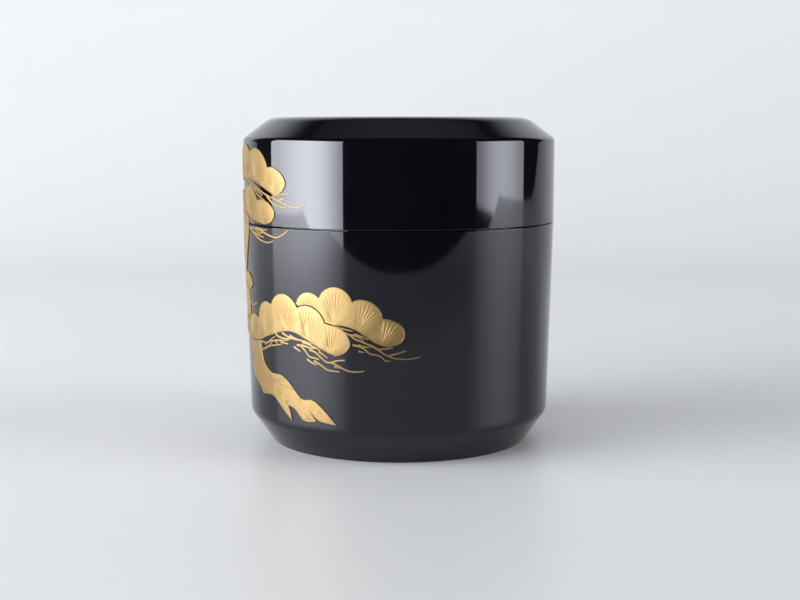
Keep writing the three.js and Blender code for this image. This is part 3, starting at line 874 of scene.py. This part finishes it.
def lines_mesh(name, lines, feet=None):
    """Lines in the flat drawing. Each point may be marked with the foot that its needle springs from."""
    points, edges, marks = [], [], []
    for i, line in enumerate(lines):
        edges += [(j, j + 1) for j in range(len(points), len(points) + len(line) - 1)]
        points += [(*point, 0) for point in line]
        if feet is not None:
            marks += [(*feet[i], 0)] * len(line)
    mesh = bpy.data.meshes.new(name + "_lines")
    mesh.from_pydata(points, edges, [])
    if feet is not None:
        foot = mesh.attributes.new("foot", "FLOAT_VECTOR", "POINT")
        foot.data.foreach_set("vector", np.array(marks, np.float32).ravel())
    return mesh


WALL_INPUTS = {"Drawing Scale": "Float", "Foot Radius": "Float", "Foot Height": "Float", "Slope": "Float"}


def wall_values(wall):
    slope = (wall.top_radius - wall.foot_radius) / (wall.top_height - wall.foot_height)
    return {
        "Drawing Scale": wall.scale,
        "Foot Radius": wall.foot_radius,
        "Foot Height": wall.foot_height,
        "Slope": slope,
    }


def wrapped(board, given, geometry):
    """The flat drawing laid round its wall."""
    x, y, z = board.split(board.add("GeometryNodeInputPosition"))
    angle = board.math("DIVIDE", x, given["Drawing Scale"])
    climb = board.math("SUBTRACT", y, given["Foot Height"])
    wall = board.math("MULTIPLY_ADD", climb, given["Slope"], given["Foot Radius"])
    radius = board.math("ADD", wall, z)
    right = board.math("MULTIPLY", board.math("SINE", angle), radius)
    front = board.math("MULTIPLY", board.math("COSINE", angle), board.math("MULTIPLY", radius, -1))
    place = board.combine(right, front, y)
    return board.add("GeometryNodeSetPosition", {"Geometry": geometry, "Position": place})


def needle(board):
    """A needle of unit size along x, thickest before its middle."""
    sides, rings = 5, 9
    first_phase, phases = 0.15 * math.pi, 0.75 * math.pi
    line = board.add("GeometryNodeCurvePrimitiveLine", {"Start": (0, 0, 0), "End": (1, 0, 0)})
    spine = board.add("GeometryNodeResampleCurve", {"Curve": line, "Count": rings})
    along = board.add("GeometryNodeSplineParameter")
    thickness = board.math("SINE", board.math("MULTIPLY_ADD", along, phases, first_phase))
    ring = board.add("GeometryNodeCurvePrimitiveCircle", {"Resolution": sides, "Radius": 1})
    inputs = {"Curve": spine, "Profile Curve": ring, "Scale": thickness, "Fill Caps": True}
    return board.smooth(board.add("GeometryNodeCurveToMesh", inputs))


def draped(board, geometry, plate):
    """Strokes let down onto their plate. Where they leave it, they sink into the lacquer."""
    clear, fall, sunk = 2 * MM, 4 * MM, 0.3 * MM
    x, y, z = board.split(board.add("GeometryNodeInputPosition"))
    inputs = {
        "Target Geometry": plate, "Source Position": board.combine(x, y, clear), "Ray Direction": (0, 0, -1),
        "Ray Length": fall,
    }
    cast = board.add("GeometryNodeRaycast", inputs)
    ground = board.add(
        "GeometryNodeSwitch",
        {
            "Switch": cast.outputs["Is Hit"], "False": -sunk,
            "True": board.split(cast.outputs["Hit Position"])["Z"],
        },
        input_type="FLOAT",
    )
    place = board.combine(x, y, board.math("ADD", ground, z))
    return board.add("GeometryNodeSetPosition", {"Geometry": geometry, "Position": place})


def strokes(board, given, points, run, stroke_length, width, height):
    """Needles laid from some points along their runs."""
    turn = board.add("FunctionNodeAlignRotationToVector", {"Vector": run}, axis="X", pivot_axis="Z")
    scale = board.combine(stroke_length, board.math("MULTIPLY", width, 0.5), height)
    inputs = {"Points": points, "Instance": needle(board), "Rotation": turn, "Scale": scale}
    laid = board.add("GeometryNodeInstanceOnPoints", inputs)
    solid = board.add("GeometryNodeRealizeInstances", {"Geometry": laid})
    return draped(board, solid, given["Geometry"])


def fan_needles(board, given):
    """Needles that spread from each fan's foot to its rim. Starts and ends are shares of that way."""
    starts_from, starts_to, ends_from, ends_to = 0.1, 0.45, 0.93, 0.985
    rims = board.add("GeometryNodeObjectInfo", {"Object": given["Fans"]}).outputs["Geometry"]
    lines = board.add("GeometryNodeMeshToCurve", {"Mesh": rims})
    inputs = {"Curve": lines, "Length": given["Needle Spacing"]}
    tips = board.add("GeometryNodeResampleCurve", inputs, mode="LENGTH")
    foot = board.attribute("foot", "FLOAT_VECTOR")
    tip = board.attribute("tip", "FLOAT_VECTOR")
    place = board.add("GeometryNodeInputPosition")
    reach = board.random(ends_from, ends_to, given["Seed"])
    end = board.vector("MULTIPLY_ADD", board.vector("SUBTRACT", place, foot), reach, foot)
    inputs = {"Geometry": tips, "Name": "tip", "Value": end}
    marked = board.add("GeometryNodeStoreNamedAttribute", inputs, data_type="FLOAT_VECTOR", domain="POINT")
    begin = board.random(starts_from, starts_to, board.math("ADD", given["Seed"], 1))
    start = board.vector("MULTIPLY_ADD", board.vector("SUBTRACT", tip, foot), begin, foot)
    starts = board.add("GeometryNodeSetPosition", {"Geometry": marked, "Position": start})
    run = board.vector("SUBTRACT", tip, board.add("GeometryNodeInputPosition"))
    distance = board.vector("LENGTH", run).outputs["Value"]
    return strokes(board, given, starts, run, distance, given["Needle Width"], given["Needle Height"])


def bark_strokes(board, given):
    """Low strokes scattered over a trunk, along its grain."""
    shortest = 0.3
    height = board.split(board.add("GeometryNodeInputPosition"))["Z"]
    inputs = {"A": height, "B": given["Bark Level"]}
    inner = board.add("FunctionNodeCompare", inputs, operation="GREATER_THAN")
    inputs = {
        "Mesh": given["Geometry"],
        "Selection": inner,
        "Density": given["Bark Density"],
        "Seed": given["Seed"],
    }
    points = board.add("GeometryNodeDistributePointsOnFaces", inputs)
    size = board.math("MULTIPLY", given["Bark Length"], board.random(shortest, 1, given["Seed"]))
    grain = board.attribute("grain", "FLOAT_VECTOR")
    return strokes(board, given, points, grain, size, given["Needle Width"], given["Bark Height"])


def rim_line(board, given):
    """A raised round line along a field's own edges."""
    edges = board.attribute("rim", "BOOLEAN")
    line = board.add("GeometryNodeMeshToCurve", {"Mesh": given["Geometry"], "Selection": edges})
    inputs = {"Resolution": LINE_SIDES, "Radius": given["Rim Radius"]}
    ring = board.add("GeometryNodeCurvePrimitiveCircle", inputs)
    bead = board.add("GeometryNodeCurveToMesh", {"Curve": line, "Profile Curve": ring, "Fill Caps": True})
    return board.smooth(bead)


LINE_SIDES = 8
PLATE_CREASE = math.radians(40)
FIELD_INPUTS = {
    "Rim Radius": "Float", "Needle Width": "Float", "Seed": "Int", "Finish": "Material", **WALL_INPUTS,
}


def bough_tree(name):
    """A bough: its plate, the needles of its fans and its rim."""
    inputs = {"Fans": "Object", "Needle Spacing": "Float", "Needle Height": "Float", **FIELD_INPUTS}
    board, given = geometry_board(name, inputs)
    plate = board.crease(given["Geometry"], PLATE_CREASE)
    field = board.join(plate, fan_needles(board, given), rim_line(board, given))
    board.finish(wrapped(board, given, field), given["Finish"])
    return board.tree


def trunk_tree(name):
    """A stretch of trunk: its plate, bark and rim."""
    inputs = {
        "Bark Length": "Float", "Bark Height": "Float", "Bark Level": "Float", "Bark Density": "Float",
        **FIELD_INPUTS,
    }
    board, given = geometry_board(name, inputs)
    plate = board.crease(given["Geometry"], PLATE_CREASE)
    field = board.join(plate, bark_strokes(board, given), rim_line(board, given))
    board.finish(wrapped(board, given, field), given["Finish"])
    return board.tree


def twig_tree(name):
    """Twigs: rounded lines that narrow to their tips."""
    inputs = {
        "Twig Width": "Float", "Twig Height": "Float", "Twig Tip": "Float", "Step": "Float",
        "Finish": "Material", **WALL_INPUTS,
    }
    board, given = geometry_board(name, inputs)
    lines = board.add("GeometryNodeMeshToCurve", {"Mesh": given["Geometry"]})
    smooth = board.add("GeometryNodeCurveSplineType", {"Curve": lines}, spline_type="CATMULL_ROM")
    spine = board.add("GeometryNodeResampleCurve", {"Curve": smooth, "Length": given["Step"]}, mode="LENGTH")
    along = board.add("GeometryNodeSplineParameter")
    narrowing = board.math("MULTIPLY", along, board.math("SUBTRACT", 1, given["Twig Tip"]))
    half = board.math("MULTIPLY", given["Twig Width"], 0.5)
    radius = board.math("MULTIPLY", half, board.math("SUBTRACT", 1, narrowing))
    ring = board.add("GeometryNodeCurvePrimitiveCircle", {"Resolution": LINE_SIDES, "Radius": 1})
    inputs = {"Curve": spine, "Profile Curve": ring, "Scale": radius, "Fill Caps": True}
    tube = board.smooth(board.add("GeometryNodeCurveToMesh", inputs))
    x, y, z = board.split(board.add("GeometryNodeInputPosition"))
    raised = board.math("MULTIPLY", z, board.math("DIVIDE", given["Twig Height"], half))
    twigs = board.add("GeometryNodeSetPosition", {"Geometry": tube, "Position": board.combine(x, y, raised)})
    board.finish(wrapped(board, given, twigs), given["Finish"])
    return board.tree


def field_values(gold, wall, seed):
    return {
        "Rim Radius": gold.rim_radius,
        "Needle Width": gold.needle_width,
        "Seed": seed,
        "Finish": once("Gold powder", gold_material),
        **wall_values(wall),
    }


def gold_name(node):
    return node.replace("pine_", "gold_")


def gild_boughs(gold, wall, boughs, body):
    """Boughs in order: each lies over those that come later."""
    taken = []
    for seed, (node, drawing) in enumerate(boughs.items(), gold.seed):
        bough = Bough(wall, drawing)
        plate = plate_mesh(node, gold, bough.outline, taken, bough.creases)
        taken.append(bough.outline)
        feet, rims = zip(*bough.fans)
        fans = loose_object(node + "_fans", lines_mesh(node, rims, feet))
        values = {
            "Fans": fans,
            "Needle Spacing": gold.needle_spacing,
            "Needle Height": gold.needle_height,
            **field_values(gold, wall, seed),
        }
        piece = grown_piece(gold_name(node), plate, once("Pine bough", bough_tree), values)
        bpy.data.meshes.remove(fans.data)
        settle(piece, body, node)


def gild_trunk(gold, wall, boughs, trunk, body):
    """Stretches of trunk, cut back by the boughs that lie over them."""
    bark_density, bark_rise = 0.8e6, 0.6
    taken = [Bough(wall, drawing).outline for drawing in boughs.values()]
    for seed, (node, drawing) in enumerate(trunk.items(), gold.seed):
        outline = trunk_outline(wall, drawing)
        plate = plate_mesh(node, gold, outline, taken, spine=on_wall(wall, drawing["spine"]))
        values = {
            "Bark Length": gold.bark_length,
            "Bark Height": gold.bark_height,
            "Bark Level": gold.plate_height + bark_rise * gold.pillow_height,
            "Bark Density": bark_density,
            **field_values(gold, wall, seed),
        }
        piece = grown_piece(gold_name(node), plate, once("Pine trunk", trunk_tree), values)
        settle(piece, body, node)


def gild_twigs(gold, wall, twigs, body):
    """Twigs, which lie free on the lacquer."""
    for node, drawn in twigs.items():
        lines = lines_mesh(node, [on_wall(wall, stroke) for stroke in drawn])
        values = {
            "Twig Width": gold.twig_width,
            "Twig Height": gold.twig_height,
            "Twig Tip": gold.twig_tip,
            "Step": gold.facet / 2,
            "Finish": once("Gold powder", gold_material),
            **wall_values(wall),
        }
        settle(grown_piece(gold_name(node), lines, once("Pine twigs", twig_tree), values), body, node)


# Finishes

def surface_board(name):
    """A board for a new material, its shader and the Object coordinates."""
    material = bpy.data.materials.new(name)
    material.use_nodes = True
    board = Board(material.node_tree)
    shader = material.node_tree.nodes["Principled BSDF"]
    place = board.add("ShaderNodeTexCoord").outputs["Object"]
    return material, board, shader, place


def noise(board, place, scale, detail=2):
    return board.add("ShaderNodeTexNoise", {"Vector": place, "Scale": scale, "Detail": detail})


def blend(board, factor, first, second):
    """A mix of two colours. Each is a plain colour or a socket."""
    first_colour, second_colour, mixed_colour = 6, 7, 2
    node = board.add("ShaderNodeMix", {0: factor}, data_type="RGBA")
    for value, socket in ((first, node.inputs[first_colour]), (second, node.inputs[second_colour])):
        board.plug(value if isinstance(value, bpy.types.NodeSocket) else (*value, 1), socket)
    return node.outputs[mixed_colour]


def between(board, value, low, high):
    return board.add("ShaderNodeMapRange", {"Value": value, "To Min": low, "To Max": high})


def ramp(board, value, start, end, kind="SMOOTHSTEP"):
    """A climb from 0 to 1."""
    inputs = {"Value": value, "From Min": start, "From Max": end}
    return board.add("ShaderNodeMapRange", inputs, interpolation_type=kind)


def roughen(board, shader, height, strength, depth):
    """Relief too fine to model."""
    inputs = {"Strength": strength, "Distance": depth, "Height": height}
    board.plug(board.add("ShaderNodeBump", inputs), shader.inputs["Normal"])


def lacquer_material(name):
    """Polished black lacquer, with a faint warm cloudiness and a slight unevenness in its gloss."""
    finish = bpy.context.scene.caddy_finish
    material, board, shader, place = surface_board(name)
    cloud = noise(board, place, scale=90, detail=3)
    board.plug(blend(board, cloud, finish.lacquer, finish.lacquer_warm), shader.inputs["Base Color"])
    haze = noise(board, place, scale=400, detail=4)
    board.plug(between(board, haze, 0.03, 0.06), shader.inputs["Roughness"])
    board.plug(1.51, shader.inputs["IOR"])
    board.plug((0.88, 0.89, 1, 1), shader.inputs["Specular Tint"])
    ripple = noise(board, place, scale=260, detail=1)
    roughen(board, shader, ripple, strength=0.05, depth=0.02 * MM)
    return material


def gold_material(name):
    """Gold powder under clear lacquer, with fine grains and patches where it lies thinner.

    It is deeper towards the roots and on the lid.
    """
    form, finish = bpy.context.scene.caddy_form, bpy.context.scene.caddy_finish
    roots, crown = 17 * MM, 29 * MM
    seam, seam_blur = (form.body_height + form.lid_rim) / 2, 0.5 * MM
    material, board, shader, place = surface_board(name)
    level = board.split(place)["Z"]
    grains = noise(board, place, scale=4500, detail=3)
    patches = noise(board, place, scale=420, detail=3)
    thin = board.math("MULTIPLY", between(board, grains, 0.2, 1), patches)
    powder = blend(board, ramp(board, level, roots, crown), finish.gold_root, finish.gold)
    on_lid = ramp(board, level, seam - seam_blur, seam + seam_blur, "LINEAR")
    powder = blend(board, on_lid, powder, finish.gold_lid)
    board.plug(blend(board, thin, powder, finish.gold_deep), shader.inputs["Base Color"])
    board.plug(between(board, grains, 0.42, 0.6), shader.inputs["Roughness"])
    board.plug(1, shader.inputs["Metallic"])
    board.plug((0.95, 0.85, 0.65, 1), shader.inputs["Specular Tint"])
    board.plug(0.55, shader.inputs["Coat Weight"])
    board.plug(0.34, shader.inputs["Coat Roughness"])
    roughen(board, shader, grains, strength=0.35, depth=0.02 * MM)
    return material


def wood_material(name):
    """Turned wood with growth rings round the axis and fine fibres along it."""
    finish = bpy.context.scene.caddy_finish
    fibres_across, fibres_along = 2500, 120
    material, board, shader, place = surface_board(name)
    inputs = {"Vector": place, "Scale": 160, "Distortion": 3, "Detail": 2, "Detail Scale": 1.5}
    rings = board.add("ShaderNodeTexWave", inputs, wave_type="RINGS", rings_direction="Z")
    inputs = {"Vector": place, "Scale": (fibres_across, fibres_across, fibres_along)}
    fibres = noise(board, board.add("ShaderNodeMapping", inputs), scale=1, detail=3)
    tone = board.math("MULTIPLY", rings.outputs["Fac"], between(board, fibres, 0.4, 1))
    board.plug(blend(board, tone, finish.wood, finish.wood_ring), shader.inputs["Base Color"])
    board.plug(between(board, fibres, 0.55, 0.8), shader.inputs["Roughness"])
    roughen(board, shader, fibres, strength=0.3, depth=0.05 * MM)
    return material


def painted_light_paper_material(name):
    """Smooth pale paper with a trace of fibre. Its tone is painted light and shade: painted shadow towards
    the front and below the camera, painted light towards both sides, where the windows are, and painted
    shade high up.
    """
    finish = bpy.context.scene.caddy_finish
    near_shadow_span, front_shadow_span, high_shade_span = (-0.2, -0.11), (-0.15, 0.4), (0.5, 1.15)
    lit_side_start, lit_side_spread, lit_side_width = 0.18, 0.2, 0.22
    material, board, shader, place = surface_board(name)
    x, y, z = board.split(place)
    # Painted shadow: darker paper towards the front and below the camera.
    tone = blend(board, ramp(board, y, *front_shadow_span), finish.paper_front_shadow, finish.paper)
    tone = blend(board, ramp(board, y, *near_shadow_span), finish.paper_near_shadow, tone)
    # Painted light: paler paper towards both sides, where the windows are.
    reach = board.math("MULTIPLY_ADD", y, lit_side_spread, lit_side_start)
    left, right = (
        ramp(board, board.math("SUBTRACT", board.math("MULTIPLY", x, outwards), reach), 0, lit_side_width)
        for outwards in (-1, 1)
    )
    tone = blend(board, left, tone, finish.paper_left_lit)
    tone = blend(board, right, tone, finish.paper_right_lit)
    # Painted shade: the paper darkens to the room's near-black high up.
    high_shaded = blend(board, ramp(board, z, *high_shade_span), tone, finish.room)
    fibre = between(board, noise(board, place, scale=300, detail=4), 0.97, 1)
    board.plug(board.vector("MULTIPLY", high_shaded, fibre), shader.inputs["Base Color"])
    board.plug(between(board, left, 0.4, 0.28), shader.inputs["Roughness"])
    return material


def dull_material(name, tone, other_share):
    """A dull wall whose tone wanders towards a share of itself."""
    material, board, shader, place = surface_board(name)
    other = [other_share * level for level in tone]
    board.plug(blend(board, noise(board, place, scale=3), tone, other), shader.inputs["Base Color"])
    board.plug(1, shader.inputs["Roughness"])
    board.plug(0, shader.inputs["Specular IOR Level"])
    return material


# The walls' near-black is painted shade for the dim room.
def shaded_room_material(name):
    return dull_material(name, bpy.context.scene.caddy_finish.room, 1.2)


def ceiling_material(name):
    return dull_material(name, bpy.context.scene.caddy_finish.ceiling, 0.8)


# Stage

def sweep_mesh(studio):
    """Floor that rises behind the caddy in one smooth sweep."""
    steps = 32
    profile = [(-studio.floor_front, 0), (studio.sweep_start, 0)]
    for i in range(1, steps + 1):
        angle = math.pi / 2 * i / steps
        rise = studio.sweep_radius * (1 - math.cos(angle))
        profile.append((studio.sweep_start + studio.sweep_radius * math.sin(angle), rise))
    profile.append((profile[-1][0], studio.sweep_height))
    points = []
    for y, z in profile:
        points.append((-studio.floor_left, y, z))
        points.append((studio.floor_right - studio.floor_taper * max(0, y), y, z))
    faces = [(i, i + 1, i + 3, i + 2) for i in range(0, len(points) - 2, 2)]
    mesh = bpy.data.meshes.new("floor_sweep")
    mesh.from_pydata(points, [], faces)
    mesh.shade_smooth()
    return mesh


def box_mesh(name, low, high):
    """A room seen from inside."""
    points = [(x, y, z) for x in (low[0], high[0]) for y in (low[1], high[1]) for z in (low[2], high[2])]
    faces = [(0, 2, 3, 1), (4, 5, 7, 6), (0, 1, 5, 4), (2, 6, 7, 3), (0, 4, 6, 2), (1, 3, 7, 5)]
    mesh = bpy.data.meshes.new(name)
    mesh.from_pydata(points, [], faces)
    return mesh


def sheet_mesh(name, low, high, height):
    """A flat sheet that faces down."""
    corners = (low, (low[0], high[1]), high, (high[0], low[1]))
    mesh = bpy.data.meshes.new(name)
    mesh.from_pydata([(x, y, height) for x, y in corners], [], [(0, 1, 2, 3)])
    return mesh


def make_room(studio, left, right):
    """Floor, walls and ceiling. The camera sees the floor alone."""
    floor = loose_object("floor_sweep", sweep_mesh(studio))
    floor.data.materials.append(once("Pale paper with painted light and shade", painted_light_paper_material))
    low = (left - studio.wall_gap, -studio.room_front, -studio.room_bottom)
    high = (right + studio.wall_gap, studio.room_back, studio.room_top)
    # Near-black walls, painted shade for the dim room; the camera doesn't see them.
    walls = loose_object("studio_walls", box_mesh("studio_walls", low, high))
    walls.data.materials.append(once("Studio walls in painted shade", shaded_room_material))
    low, high = (left, studio.ceiling_front), (right, studio.ceiling_back)
    ceiling = loose_object("studio_ceiling", sheet_mesh("studio_ceiling", low, high, studio.ceiling_height))
    ceiling.data.materials.append(once("Studio ceiling", ceiling_material))
    walls.visible_camera = ceiling.visible_camera = False


def soft_light(name, size, strength, tint):
    """A soft rectangle of light that faces down."""
    watts_per_radiance = 4
    lamp = bpy.data.lights.new(name, "AREA")
    lamp.shape = "RECTANGLE"
    lamp.size, lamp.size_y = size
    lamp.energy = watts_per_radiance * strength * lamp.size * lamp.size_y
    lamp.color = tint
    light = loose_object(name, lamp)
    light.visible_camera = False
    return light


def window_light(name, x, near_far, low_high, strength):
    """A soft window in a side wall that faces the caddy, brightest half way along."""
    edge_share = 0.4
    (near, far), (low, high) = near_far, low_high
    light = soft_light(name, (high - low, far - near), strength, bpy.context.scene.caddy_finish.window_tint)
    light.data.use_nodes = True
    board = Board(light.data.node_tree)
    across = board.split(board.add("ShaderNodeNewGeometry").outputs["Parametric"])["Y"]
    hump = board.math("MULTIPLY", across, board.math("MULTIPLY_ADD", across, -4, 4))
    glow = board.math("MULTIPLY_ADD", board.math("MULTIPLY", hump, hump), 1 - edge_share, edge_share)
    board.plug(glow, light.data.node_tree.nodes["Emission"].inputs["Strength"])
    light.location = (x, (near + far) / 2, (low + high) / 2)
    light.rotation_euler = (0, math.copysign(math.pi / 2, x), 0)
    return light


def light_windows(studio, left, right):
    """Both windows, the glow below the left one, and the fills above them, which no reflection shows."""
    left_run, right_run = (-studio.left_near, studio.windows_far), (-studio.right_near, studio.windows_far)
    left_sill, right_sill = -studio.left_sill, -studio.right_sill
    window_light("left_window", left, left_run, (left_sill, studio.left_top), studio.left_light)
    window_light("left_below", left, left_run, (-studio.glow_depth, left_sill), studio.sill_light)
    window_light("right_window", right, right_run, (right_sill, studio.right_top), studio.right_light)
    above_left = (studio.left_top, studio.left_fill_top)
    above_right = (studio.right_top, studio.right_fill_top)
    left_fill = window_light("left_fill", left, left_run, above_left, studio.left_fill)
    right_fill = window_light("right_fill", right, right_run, above_right, studio.right_fill)
    left_fill.visible_glossy = right_fill.visible_glossy = False


def light_fills(studio):
    """Weak fills from above and from the front, which no reflection shows."""
    overhead_size, overhead_height = (1.2, 1.2), 1.5
    front_size, front_place = (1.4, 0.9), (-0.4, -1.1, 0.4)
    front_turn = (math.radians(72), 0, math.radians(-20))
    tint = bpy.context.scene.caddy_finish.fill_tint
    overhead = soft_light("overhead_fill", overhead_size, studio.overhead_light, tint)
    overhead.location = (0, 0, overhead_height)
    front = soft_light("front_fill", front_size, studio.front_light, tint)
    front.location, front.rotation_euler = front_place, front_turn
    overhead.visible_glossy = front.visible_glossy = False


def make_surround(tone):
    """An even pale surround for what lies beyond the floor."""
    world = bpy.data.worlds.new("Pale surround")
    world.use_nodes = True
    world.node_tree.nodes["Background"].inputs["Color"].default_value = (*tone, 1)
    bpy.context.scene.world = world


def make_camera(studio):
    camera = loose_object("photo_camera", bpy.data.cameras.new("photo_camera"))
    camera.location = (studio.camera_side, -studio.camera_distance, studio.camera_height)
    camera.rotation_euler = (math.pi / 2 - studio.camera_tilt, 0, 0)
    camera.data.lens = studio.lens
    camera.data.clip_start = 1 * MM
    bpy.context.scene.camera = camera


# Operators

class CADDY_OT_turn_wood(bpy.types.Operator):
    """Turns the wooden cores of body and lid."""

    bl_idname = "caddy.turn_wood"
    bl_label = "Turn the wood"

    def execute(self, context):
        form = context.scene.caddy_form
        wood = once("Turned wood", wood_material)
        for node, corners, body in (("body_core", body_corners, BODY), ("lid_core", lid_corners, LID)):
            section = sum(softened(inset(corners(form), form.lacquer), form.round_steps), [])
            settle(turn_piece(node + "_wood", section, form, wood), body, node)
        return {"FINISHED"}


class CADDY_OT_coat_body(bpy.types.Operator):
    """Coats the body: standing face, outside, and the lip and tea space."""

    bl_idname = "caddy.coat_body"
    bl_label = "Coat the body"

    def execute(self, context):
        form = context.scene.caddy_form
        coats = {
            "body_base_lacquer": (BASE_CENTRE, BASE_EDGE, False),
            "body_outer_lacquer": (BASE_EDGE, SEAM_EDGE, True),
            "body_inner_lacquer": (SEAM_EDGE, FLOOR_CENTRE, False),
        }
        lay_coats(form, body_corners(form), coats, BODY)
        return {"FINISHED"}


class CADDY_OT_coat_lid(bpy.types.Operator):
    """Coats the lid inside and outside."""

    bl_idname = "caddy.coat_lid"
    bl_label = "Coat the lid"

    def execute(self, context):
        form = context.scene.caddy_form
        coats = {
            "lid_inner_lacquer": (CEILING_CENTRE, RIM_EDGE, False),
            "lid_outer_lacquer": (RIM_EDGE, TOP_CENTRE, True),
        }
        lay_coats(form, lid_corners(form), coats, LID)
        return {"FINISHED"}


class CADDY_OT_gild_boughs(bpy.types.Operator):
    """Lays the pine's boughs of needles in raised gold."""

    bl_idname = "caddy.gild_boughs"
    bl_label = "Gild the boughs"

    def execute(self, context):
        form, gold = context.scene.caddy_form, context.scene.pine_gold
        gild_boughs(gold, body_wall(form), BODY_BOUGHS, BODY)
        gild_boughs(gold, lid_wall(form), LID_BOUGHS, LID)
        return {"FINISHED"}


class CADDY_OT_gild_trunk(bpy.types.Operator):
    """Lays the pine's trunk in raised gold."""

    bl_idname = "caddy.gild_trunk"
    bl_label = "Gild the trunk"

    def execute(self, context):
        form, gold = context.scene.caddy_form, context.scene.pine_gold
        gild_trunk(gold, body_wall(form), BODY_BOUGHS, BODY_TRUNK, BODY)
        gild_trunk(gold, lid_wall(form), LID_BOUGHS, LID_TRUNK, LID)
        return {"FINISHED"}


class CADDY_OT_gild_twigs(bpy.types.Operator):
    """Lays the pine's twigs in raised gold."""

    bl_idname = "caddy.gild_twigs"
    bl_label = "Gild the twigs"

    def execute(self, context):
        form, gold = context.scene.caddy_form, context.scene.pine_gold
        gild_twigs(gold, body_wall(form), BODY_TWIGS, BODY)
        gild_twigs(gold, lid_wall(form), LID_TWIGS, LID)
        return {"FINISHED"}


class CADDY_OT_set_stage(bpy.types.Operator):
    """Sets the pale floor, the two windows of a dim studio and the camera."""

    bl_idname = "caddy.set_stage"
    bl_label = "Set the stage"

    def execute(self, context):
        studio = context.scene.studio_set
        left, right = -studio.floor_left - studio.left_gap, studio.floor_right + studio.right_gap
        make_room(studio, left, right)
        light_windows(studio, left, right)
        light_fills(studio)
        make_surround(context.scene.caddy_finish.surround)
        context.scene.view_settings.view_transform = "Standard"
        make_camera(studio)
        return {"FINISHED"}


class CADDY_PT_sidebar(bpy.types.Panel):
    """Lists the steps of the caddy and their settings."""

    bl_idname = "CADDY_PT_sidebar"
    bl_label = "Tea caddy"
    bl_space_type = "VIEW_3D"
    bl_region_type = "UI"
    bl_category = "Tea caddy"

    def draw(self, context):
        for step in STEPS:
            self.layout.operator(step.bl_idname)
        for settings in SETTINGS:
            group = getattr(context.scene, settings)
            box = self.layout.box()
            for name in group.bl_rna.properties.keys():
                if name not in ("name", "rna_type"):
                    box.prop(group, name)


SETTINGS = {
    "caddy_form": CaddyForm,
    "pine_gold": PineGold,
    "caddy_finish": CaddyFinish,
    "studio_set": StudioSet,
}
STEPS = (
    CADDY_OT_set_stage,
    CADDY_OT_turn_wood,
    CADDY_OT_coat_body,
    CADDY_OT_coat_lid,
    CADDY_OT_gild_boughs,
    CADDY_OT_gild_trunk,
    CADDY_OT_gild_twigs,
)


def register():
    for kind in (*SETTINGS.values(), *STEPS, CADDY_PT_sidebar):
        bpy.utils.register_class(kind)
    for name, kind in SETTINGS.items():
        setattr(bpy.types.Scene, name, bpy.props.PointerProperty(type=kind))


def unregister():
    for name in SETTINGS:
        delattr(bpy.types.Scene, name)
    for kind in (CADDY_PT_sidebar, *reversed(STEPS), *SETTINGS.values()):
        bpy.utils.unregister_class(kind)


def main():
    register()
    bpy.ops.caddy.set_stage()
    bpy.ops.caddy.turn_wood()
    bpy.ops.caddy.coat_body()
    bpy.ops.caddy.coat_lid()
    bpy.ops.caddy.gild_boughs()
    bpy.ops.caddy.gild_trunk()
    bpy.ops.caddy.gild_twigs()


if __name__ == "__main__":
    main()
